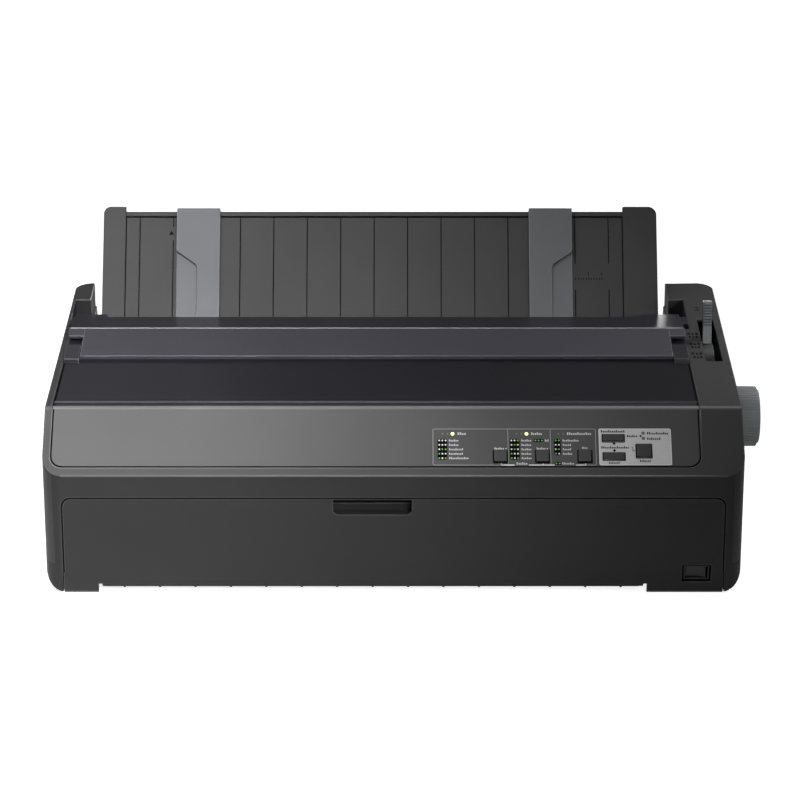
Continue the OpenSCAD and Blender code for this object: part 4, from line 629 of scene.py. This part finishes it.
# Control panel printing, in millimetres on the panel: X across, then up the slope
stroke, dot = strokeModel(), spotModel("dotModel", 14)
diamond, arrow = spotModel("diamondModel", 4), spotModel("arrowModel", 3)
legend = {"x": (34.0, 176.0), "up": (10.3, 46.0), "line": 0.55, "corner": 1.6, "dividers": (99.2, 136.1),
          "gaps": ((105.4, 116.9), (140.0, 157.6)),
          "runs": ((93.3, 105.0), (117.3, 139.6), (158.0, 166.9)), "ticks": (93.3, 129.7, 166.5),
          "runSpill": 0.1, "tickUp": 1.1, "tickWide": 0.6, "tickHigh": 1.5}
tables = [
    {"x": (39.7, 42.4, 45.2), "top": 34.5, "rows": ("www", "www", "wgg", "gww", "gwg"),
     "wordX": 48.1, "words": (8.6, 8.6, 12.6, 12.4, 17.2)},
    {"x": (102.5, 105.2, 108.0), "top": 34.5, "rows": ("wwg", "wgw", "wgw", "gww", "gwg"),
     "wordX": 111.0, "words": (9.1, 9.0, 9.1, 8.9, 9.1)},
    {"x": (123.4, 126.2, 129.0), "top": 34.5, "rows": ("ggg",), "wordX": 131.5, "words": (3.6,)},
    {"x": (140.9, 143.7), "top": 34.5, "rows": ("gg", "ww", "wg", "gw"),
     "wordX": 146.9, "words": (14.3, 7.6, 7.6, 8.4)},
    {"x": (141.2, 143.9), "top": 12.1, "rows": ("gg",), "wordX": 146.0, "words": (10.6,)},
]
rowPitch = 4.3
tableDot = {"size": 1.45, "margin": 1.5}
keyDot = {"size": 1.3, "up": 26.6, "x": (97.7, 133.5)}
letterHigh = {"row": 2.0, "heading": 2.5}
headings = ((55.6, 41.2, 7.8), (119.7, 41.2, 9.7), (150.8, 41.2, 21.6), (106.5, 12.1, 9.8))
keyWords = ((87.6, 26.7, 8.6), (124.2, 26.7, 8.0), (163.5, 27.3, 5.2))
keyPlaces = {"panel": ((87.2, 13.6, 11, 10.8), (123.8, 13.6, 11, 10.8), (160.5, 13.6, 11, 10.8)),
             "plate": ((182.1, 33.5, 18, 6.1), (182.3, 15.7, 18, 6.1), (211.2, 18, 12.4, 12.1))}


def onPanel(name, model, marks, ink, lift=0.0):
    return closePrint(stamped(name, model, marks), panelPlane, printed[ink], "casing", lift=lift)


def legendFrame():
    x0, x1 = legend["x"]
    u0, u1 = legend["up"]
    t = legend["line"]
    piece = startPiece("legendFrame")
    addRing(x0, x1, u0, u1, legend["corner"], t)
    for gap in legend["gaps"]:
        for x in gap:
            bpy.ops.mesh.select_all(action="SELECT")
            bpy.ops.mesh.bisect(plane_co=(x, 0, 0), plane_no=(1, 0, 0))
    bpy.ops.mesh.select_all(action="DESELECT")
    outline = bmesh.from_edit_mesh(piece.data)
    for face in outline.faces:
        middle = face.calc_center_median()
        face.select = middle.y < u0 + 1 and any(a < middle.x < b for a, b in legend["gaps"])
    bpy.ops.mesh.delete(type="FACE")
    closePrint(piece, panelPlane, printed["line"], "casing")
    onPanel("legendDividers", stroke, [strip(x, x + t, u0 + t, u1 - t) for x in legend["dividers"]], "line")
    # a brighter line ties the three keys together, with a tick under each
    spill = legend["runSpill"]
    marks = [strip(a, b, u0 - spill, u0 + t + spill) for a, b in legend["runs"]]
    marks += [(x, u0 + legend["tickUp"], legend["tickWide"], legend["tickHigh"]) for x in legend["ticks"]]
    onPanel("legendBracket", stroke, marks, "bright", lift=0.03)


def legendWords():
    rows = [mark for table in tables for i, width in enumerate(table["words"])
            for mark in wordStrokes(table["wordX"], table["top"] - i * rowPitch, width, letterHigh["row"])]
    onPanel("legendRowWords", stroke, rows, "label")
    titles = [mark for x, up, width in headings for mark in wordStrokes(x, up, width, letterHigh["heading"])]
    titles += [mark for x, up, width in keyWords for mark in wordStrokes(x, up, width, letterHigh["row"])]
    onPanel("legendHeadings", stroke, titles, "label")
    onPanel("keyDots", dot, [(x, keyDot["up"], keyDot["size"], keyDot["size"]) for x in keyDot["x"]], "label")


def legendDots():
    # patterns of white and green dots, each table on its own black patch
    spots, patches = {"w": [], "g": []}, []
    size, margin = tableDot["size"], tableDot["margin"]
    for table in tables:
        low = table["top"] - (len(table["rows"]) - 1) * rowPitch
        patches.append(strip(table["x"][0] - margin, table["x"][-1] + margin,
                             low - margin, table["top"] + margin))
        for i, pattern in enumerate(table["rows"]):
            for x, colour in zip(table["x"], pattern):
                spots[colour].append((x, table["top"] - i * rowPitch))
    onPanel("dotBacking", stroke, patches, "black")
    onPanel("dotsWhite", dot, [(x, up, size, size) for x, up in spots["w"]], "white", lift=0.06)
    onPanel("dotsGreen", dot, [(x, up, size, size) for x, up in spots["g"]], "green", lift=0.06)


plateUp = 0.6  # the key plate's face above the panel
well = {"side": 1.15, "below": 1.4, "above": 0.95, "corner": 1.0, "line": 0.75}


def keyWells():
    # painted shade: a black ring round each key, for the shade in the hole that it stands in
    for name, lift in (("panel", 0.0), ("plate", plateUp)):
        piece = startPiece("keyWells" + name.capitalize())
        for x, up, wide, high in keyPlaces[name]:
            addRing(x - well["side"], x + wide + well["side"], up - well["below"], up + high + well["above"],
                    well["corner"], well["line"])
        closePrint(piece, panelPlane, printed["black"], "casing", lift=lift)


# key plate: words and marks as (x, up, width, height), lines as (left, right, low, high)
plateWords = ((180.3, 43.1, 21.2, 2.4), (203.0, 38.5, 9.4, 2.3), (220.5, 41.2, 18.8, 2.3),
              (220.5, 35.9, 12.0, 2.3), (180.4, 27.4, 24.2, 2.2), (186.6, 12.5, 9.6, 1.9),
              (213.5, 14.3, 9.6, 2.1))
plateLines = ((206.6, 208.0, 27.2, 27.7), (207.5, 208.0, 24.4, 27.2), (207.5, 210.0, 23.9, 24.4))
plateDiamonds = ((191.6, 31.3, 3.0, 3.0), (191.8, 24.4, 3.0, 3.0))
plateDot = (214.9, 38.5, 2.0, 2.0)
lampRim = {"left": 215.9, "right": 218.6, "up": (41.3, 36.3), "half": 1.35, "corner": 0.6, "line": 0.36}
plateRim = {"left": 178.5, "right": 241.3, "low": 10.2, "high": 45.7, "corner": 1.6, "line": 0.5}


def plateMarks():
    words = [mark for word in plateWords for mark in wordStrokes(*word)]
    onPanel("plateWords", stroke, words + [strip(*line) for line in plateLines], "black", lift=plateUp)
    onPanel("plateDiamonds", diamond, plateDiamonds, "black", lift=plateUp)
    onPanel("plateDot", dot, [plateDot], "black", lift=plateUp)
    rims = startPiece("plateLampRims")
    for up in lampRim["up"]:
        addRing(lampRim["left"], lampRim["right"], up - lampRim["half"], up + lampRim["half"],
                lampRim["corner"], lampRim["line"])
    closePrint(rims, panelPlane, printed["black"], "casing", lift=plateUp)
    edge = startPiece("plateRim")
    addRing(plateRim["left"], plateRim["right"], plateRim["low"], plateRim["high"],
            plateRim["corner"], plateRim["line"])
    closePrint(edge, panelPlane, printed["silver"], "casing", lift=plateUp)


lens = {"x": (51.3, 115.7), "up": 41, "radius": 1.6, "squash": 0.42, "sunk": 0.1}


def litLenses():
    # low domes over the two lamps that are on
    piece = startPiece("litLenses")
    for x in lens["x"]:
        middle = (x, lens["up"], 0)
        bpy.ops.mesh.select_all(action="DESELECT")
        bpy.ops.mesh.primitive_uv_sphere_add(segments=20, ring_count=10, radius=lens["radius"], location=middle)
        bpy.ops.transform.resize(value=(1, 1, lens["squash"]), center_override=middle)
        bpy.ops.mesh.bisect(plane_co=(0, 0, -lens["sunk"]), plane_no=(0, 0, 1), clear_inner=True, use_fill=True)
    return closePiece(piece, panelPlane, printed["lit"], "casing", degrees=60)


legendFrame()
legendWords()
legendDots()
keyWells()
plateMarks()
litLenses()
print("control panel printed")

# Gaps round the panel and the covers: a black line as painted shade, with paler lines painted beside it as the
# highlights on the edges of both parts
seams = {"left": -298.2, "right": 267.0, "low": 8.0, "high": 65.0, "width": 1.5, "corner": 11.0, "rim": 0.5}
frontSeam = {"left": -289.0, "right": 289.0, "low": 20.0, "high": 90.5, "width": 1.6, "corner": 8.4,
             "rim": 0.35}
openEnd = {"below": -30, "above": 40}  # a ring is drawn past its open end and then cut off there
filmThick = {"gap": 0.06, "rim": 0.05}
coverGapShades = (("coverSeams", (11.0, 101.5), "top_cover"), ("ridgeSeamShades", (2.8, 8.8), "casing"))


def seamRing(name, seam, plane, highlightFinish):
    width, rim = seam["width"], seam["rim"]
    # painted shade in the gap, and painted highlights on the edges beside it
    rings = [("Gap", 0, width, printed["black"], filmThick["gap"]),
             ("HighlightOut", rim, rim, highlightFinish, filmThick["rim"])]
    if plane is frontPlane:
        rings.append(("RimIn", -width, rim, highlightFinish, filmThick["rim"]))
    for part, out, wide, material, thick in rings:
        piece = startPiece(name + part)
        low = seam["low"] - out if plane is panelPlane else openEnd["below"]
        high = seam["high"] + (openEnd["above"] if plane is panelPlane else out)
        addRing(seam["left"] - out, seam["right"] + out, low, high, seam["corner"], wide)
        bpy.ops.mesh.select_all(action="SELECT")
        if plane is panelPlane:
            bpy.ops.mesh.bisect(plane_co=(0, seam["high"], 0), plane_no=(0, 1, 0), clear_outer=True)
        else:
            bpy.ops.mesh.bisect(plane_co=(0, seam["low"], 0), plane_no=(0, 1, 0), clear_inner=True)
        # the painted gap shade and its inner painted highlight swing with the front cover
        body = "front_cover" if plane is frontPlane and part != "HighlightOut" else "casing"
        closePrint(piece, plane, material, body, thick=thick)


def coverSeams():
    for name, span, body in coverGapShades:
        # painted shade: black strips in the gaps at the covers' sides
        marks = [strip(x, x + seams["width"], *span) for x in (seams["left"], seams["right"] - seams["width"])]
        closePrint(stamped(name, stroke, marks), topPlane, printed["black"], body,
                   thick=filmThick["gap"])


seamRing("panelSeam", seams, panelPlane, fasciaEdgeHighlight)
seamRing("frontSeam", frontSeam, frontPlane, caseEdgeHighlight)
coverSeams()

# Paper guide: painted shade in the grooves, under the rim and along the side steps; arrow and paper scale
paperFace = {"middle": -18.9, "pitch": 31.7, "low": -2.9, "rim": 115.2, "face": 2.7,
             "grooveHalf": 0.48, "grooveDown": 0.25, "sides": (-254.2, 216.7), "stepHalf": 0.9, "rimLine": 1.0}
bridges = ((-209.1, 92.0, 105.0), (171.3, 43.4, 68.8), (203.0, 43.4, 68.8))
bridge = {"half": 0.5, "deep": 0.9}
guideArrow = (-210.9, 98.5, 5.2, 5.2)
scale = {"x": 171.6, "pitch": 2.48, "count": 11, "up": 53.9, "wide": 0.7, "long": 2.8, "short": 1.9}
pointers = {"x": (183.6, 196.4), "stem": (0, 58.7, 0.6, 3.0), "flag": (-0.6, 59.6, 0.8, 0.5)}


def onGuide(name, model, marks, ink, lift):
    return closePrint(stamped(name, model, marks), guidePlane, printed[ink], "paper_guide",
                      lift=lift)


def guideLines():
    low, rim = paperFace["low"], paperFace["rim"]
    places = [paperFace["middle"] + i * paperFace["pitch"] for i in range(-7, 8)]
    face, half, step = paperFace["face"], paperFace["grooveHalf"], paperFace["stepHalf"]
    # painted shade: black strips in the mouths of the grooves
    onGuide("grooveShades", stroke, [strip(x - half, x + half, low, rim) for x in places], "black",
            face - paperFace["grooveDown"])
    # painted shade along the side steps and under the rim
    steps = [strip(x - step, x + step, low, rim) for x in paperFace["sides"]]
    rimShadeStrip = strip(*paperFace["sides"], rim - paperFace["rimLine"], rim)
    onGuide("rimLine", stroke, steps + [rimShadeStrip], "black", face)
    piece = startPiece("grooveBridges")
    for x, low, high in bridges:
        addBar(x - bridge["half"], x + bridge["half"], low, high, face - bridge["deep"], face)
    closePiece(piece, guidePlane, finishes["guide_grey"], "paper_guide")


def guideMarks():
    face = paperFace["face"]
    onGuide("guideArrow", arrow, [guideArrow], "moulded", face)
    ticks = []
    for i in range(scale["count"]):
        high = scale["long"] if i % 5 == 0 else scale["short"]
        ticks.append((scale["x"] + i * scale["pitch"], scale["up"], scale["wide"], high))
    for x in pointers["x"]:
        for across, up, wide, high in (pointers["stem"], pointers["flag"]):
            ticks.append((x + across, up, wide, high))
    onGuide("paperScale", stroke, ticks, "moulded", face)


guideLines()
guideMarks()

# Lever marks moulded in the right tower: three lines of settings and an arrow
leverMarks = {"left": 270.9, "right": 281.8, "rows": (165.6, 158.4, 141.6, 134.2, 119.2, 111.0),
              "inset": 1.0, "high": 5.0, "bars": ((285.2, 222.5, 4.4, 1.1), (285.2, 229.5, 4.4, 1.1)),
              "arrow": (286.0, 226.0, 3.6, 3.6)}


def towerMarks():
    rows = []
    width = leverMarks["right"] - leverMarks["left"]
    for i, up in enumerate(leverMarks["rows"]):
        inset = (i % 2) * leverMarks["inset"]
        rows += wordStrokes(leverMarks["left"] + inset, up, width - 2 * inset, leverMarks["high"])
    rows += leverMarks["bars"]
    ink = printed["moulded"]
    closePrint(stamped("leverMarks", stroke, rows), topPlane, ink, "casing")
    closePrint(stamped("leverArrow", arrow, [leverMarks["arrow"]]), topPlane, ink, "casing")


towerMarks()

# Painted shade: darker strips stand for the grooves between the ribs of the lever's grip
leverGrip = {"x": 284.7, "middle": 4, "top": 68.3, "pitch": 2.6, "count": 8, "wide": 7.0, "high": 1.3,
             "out": 4.2, "lean": 79.6}
grooveShadeMarks = [(leverGrip["x"] + leverGrip["middle"], leverGrip["top"] - i * leverGrip["pitch"],
            leverGrip["wide"], leverGrip["high"]) for i in range(leverGrip["count"])]
gripPlane = tilted(point(0, leverPivot["y"], leverPivot["z"]), leverGrip["lean"])
closePrint(stamped("leverGrooves", stroke, grooveShadeMarks), gripPlane, finishes["tractor_grey"], "release_lever",
           lift=leverGrip["out"])

beads = {"left": -297.4, "right": 266.2, "sunk": 0.3,
         "flap": {"radius": 0.75, "y": 204.2, "z": 176.0, "lean": 10.4},
         "cover": {"radius": 0.8, "y": 61.2, "z": 156.45, "lean": 3.9}}


def highlightBead(name, bead, material, body):
    # a half-round bead along the edge of a smoked cover, in a paler colour as a painted highlight
    x0, x1 = beads["left"], beads["right"]
    piece = startPiece(name)
    bpy.ops.mesh.primitive_cylinder_add(vertices=16, radius=bead["radius"], depth=x1 - x0,
                                        location=((x0 + x1) / 2, 0, 0), rotation=(0, math.radians(90), 0))
    bpy.ops.mesh.select_all(action="SELECT")
    bpy.ops.mesh.bisect(plane_co=(0, 0, -beads["sunk"]), plane_no=(0, 0, 1), clear_inner=True, use_fill=True)
    plane = tilted(point(0, bead["y"], bead["z"]), bead["lean"])
    return closePiece(piece, plane, material, body, degrees=60)


highlightBead("exitFlapBead", beads["flap"], printed["bead"], "exit_flap")
# the cover's bead takes the flap's paler smoked finish, as a painted highlight
highlightBead("coverFrontHighlight", beads["cover"], finishes["smoked_flap"], "top_cover")
print("guide, seams and marks made")


def facing(x, y, z, turn):
    # a plane that faces forward, turned about the upright axis
    upright = Matrix.Rotation(math.radians(90), 4, "X")
    return Matrix.Translation(point(x, y, z)) @ Matrix.Rotation(math.radians(turn), 4, "Z") @ upright


contact = {"x": (129.4, 130.3), "y": (390.2, 398.2), "low": (-1.02, 0.8), "high": 0.22, "tongueZ": 49.8,
           "count": 22, "pitch": 2.2}
recess = {"long": 4.0, "wide": 0.9, "y": 402.0, "z": 69, "turn": 180,
          "x": (("screwRecessShadeLeft", -260), ("screwRecessShadeRight", -158))}


def rearDetails():
    # contacts along both sides of the wide socket's tongue, and black crosses as painted shade in the recesses
    # of the plate's screws
    piece = startPiece("socketContacts")
    for z0 in contact["low"]:
        addBar(*contact["x"], *contact["y"], z0, z0 + contact["high"])
    alone(piece)
    row = piece.modifiers.new("row", "ARRAY")
    row.count, row.use_relative_offset, row.use_constant_offset = contact["count"], False, True
    row.constant_offset_displace = (contact["pitch"], 0, 0)
    bpy.ops.object.modifier_apply(modifier="row")
    tonguePlane = Matrix.Translation(point(0, 0, contact["tongueZ"]))
    closePiece(piece, tonguePlane, finishes["brass_gear"], "casing")
    for name, x in recess["x"]:
        long, wide = recess["long"], recess["wide"]
        cross = stamped(name, stroke, [(0, 0, long, wide), (0, 0, wide, long)])
        closePrint(cross, facing(x, recess["y"], recess["z"], recess["turn"]), printed["black"], "casing")


rearDetails()
for model in (stroke, dot, diamond, arrow):
    bpy.data.objects.remove(model)
print("rear details made")

camera = {"place": (-0.0089, -2.650655, 1.076012), "down": 20.08, "lens": 137.03}
cameraData = bpy.data.cameras.new("photo camera")
cameraData.lens, cameraData.sensor_width = camera["lens"], 36
cameraData.clip_end = 100
cameraObject = bpy.data.objects.new("photo camera", cameraData)
cameraObject.location = camera["place"]
cameraObject.rotation_euler = (math.radians(90 - camera["down"]), 0, 0)
bpy.context.scene.collection.objects.link(cameraObject)
bpy.context.scene.camera = cameraObject

# Soft light from the upper left, which falls off towards the right as in the photograph
softboxes = [
    {"name": "overhead softbox, left", "place": (-0.5, -0.46, 1.35), "aim": (-0.45, -0.2, 0.1),
     "size": (0.8, 0.6), "power": 5.3, "spread": 120},
    {"name": "gridded front softbox", "place": (0.3, -1.5, 1.05), "aim": (-0.34, -0.2, 0.1),
     "size": (0.5, 0.5), "power": 2.3, "spread": 32},
    {"name": "rear softbox, left", "place": (-0.6, 1.0, 1.1), "aim": (-0.25, 0.1, 0.15),
     "size": (0.8, 0.6), "power": 0.24, "spread": 90},
    {"name": "strip light over the ridge", "place": (-0.1, 0.45, 1.35), "aim": (0, -0.12, 0.15),
     "size": (1.6, 0.25), "power": 0.8, "spread": 70},
    {"name": "low fill from behind", "place": (0.2, 1.7, 0.1), "aim": (0.0, 0.2, 0.1),
     "size": (0.7, 0.12), "power": 0.8, "spread": 60},
    {"name": "gridded fill for the knob, right", "place": (1.1, -1.2, 0.6), "aim": (0.305, 0.02, 0.16),
     "size": (0.2, 0.2), "power": 0.05, "spread": 9},
    {"name": "rim light, right", "place": (0.75, 0.5, 0.75), "aim": (0.27, 0.0, 0.13),
     "size": (0.3, 0.3), "power": 0.22, "spread": 30},
]
for box in softboxes:
    lampData = bpy.data.lights.new(box["name"], "AREA")
    lampData.shape, lampData.size, lampData.size_y = "RECTANGLE", box["size"][0], box["size"][1]
    lampData.energy, lampData.spread = box["power"], math.radians(box["spread"])
    lamp = bpy.data.objects.new(box["name"], lampData)
    lamp.location = box["place"]
    lamp.rotation_euler = (Vector(box["aim"]) - Vector(box["place"])).to_track_quat("-Z", "Y").to_euler()
    lamp.visible_camera = False
    bpy.context.scene.collection.objects.link(lamp)

studio = {"room": 0.04, "mirror": 0.04, "glowNear": 0.86, "glowFar": 1.0, "nearM": 0.6, "farM": 1.7}


def seenDirectly(tree):
    # 1 for what the camera sees straight or through glass, and a part of that in reflections
    path = tree.nodes.new("ShaderNodeLightPath")
    part = tree.nodes.new("ShaderNodeMath")
    part.operation = "MULTIPLY"
    part.inputs[1].default_value = studio["mirror"]
    either, direct = tree.nodes.new("ShaderNodeMath"), tree.nodes.new("ShaderNodeMath")
    either.operation = direct.operation = "MAXIMUM"
    tree.links.new(path.outputs["Is Glossy Ray"], part.inputs[0])
    tree.links.new(path.outputs["Is Transmission Ray"], either.inputs[0])
    tree.links.new(part.outputs[0], either.inputs[1])
    tree.links.new(path.outputs["Is Camera Ray"], direct.inputs[0])
    tree.links.new(either.outputs[0], direct.inputs[1])
    return direct


bpy.ops.object.select_all(action="DESELECT")
bpy.ops.mesh.primitive_plane_add(size=14, location=(0, 0, 0))
floor = bpy.context.object
floor.name = "studioFloor"
paper = blankMaterial("white paper sweep, matt")
direct = seenDirectly(paper.node_tree)
matt = addNode(paper, "ShaderNodeBsdfPrincipled", {"Base Color": linear("#e8e8e8"), "Roughness": 0.9,
                                                    "Specular IOR Level": 0.1})
spread = addNode(paper, "ShaderNodeTexCoord")
reach = addNode(paper, "ShaderNodeVectorMath", {"operation": "LENGTH"})
paper.node_tree.links.new(spread.outputs["Object"], reach.inputs[0])
fade = addNode(paper, "ShaderNodeMapRange", {"From Min": studio["nearM"], "From Max": studio["farM"],
                                             "To Min": studio["glowNear"], "To Max": studio["glowFar"]},
               {"Value": (reach, "Value")})
glow = addNode(paper, "ShaderNodeEmission", {"Color": (1, 1, 1, 1)}, {"Strength": (fade, "Result")})
shown = addNode(paper, "ShaderNodeMixShader", {}, {"Fac": (direct, 0)})
both = addNode(paper, "ShaderNodeAddShader")
paper.node_tree.links.new(glow.outputs[0], shown.inputs[2])
paper.node_tree.links.new(matt.outputs[0], both.inputs[0])
paper.node_tree.links.new(shown.outputs[0], both.inputs[1])
finishMaterial(paper, both)
floor.data.materials.append(paper)

world = bpy.data.worlds.new("studio")
bpy.context.scene.world = world
world.use_nodes = True
sky = world.node_tree
sky.nodes.clear()
direct = seenDirectly(sky)
roomLight, backdrop = sky.nodes.new("ShaderNodeBackground"), sky.nodes.new("ShaderNodeBackground")
roomLight.inputs["Color"].default_value = backdrop.inputs["Color"].default_value = (1, 1, 1, 1)
roomLight.inputs["Strength"].default_value = studio["room"]
backdrop.inputs["Strength"].default_value = 1.0
choose = sky.nodes.new("ShaderNodeMixShader")
out = sky.nodes.new("ShaderNodeOutputWorld")
sky.links.new(direct.outputs[0], choose.inputs[0])
sky.links.new(roomLight.outputs[0], choose.inputs[1])
sky.links.new(backdrop.outputs[0], choose.inputs[2])
sky.links.new(choose.outputs[0], out.inputs[0])

bpy.context.scene.view_settings.view_transform = "Standard"
print("stage ready")
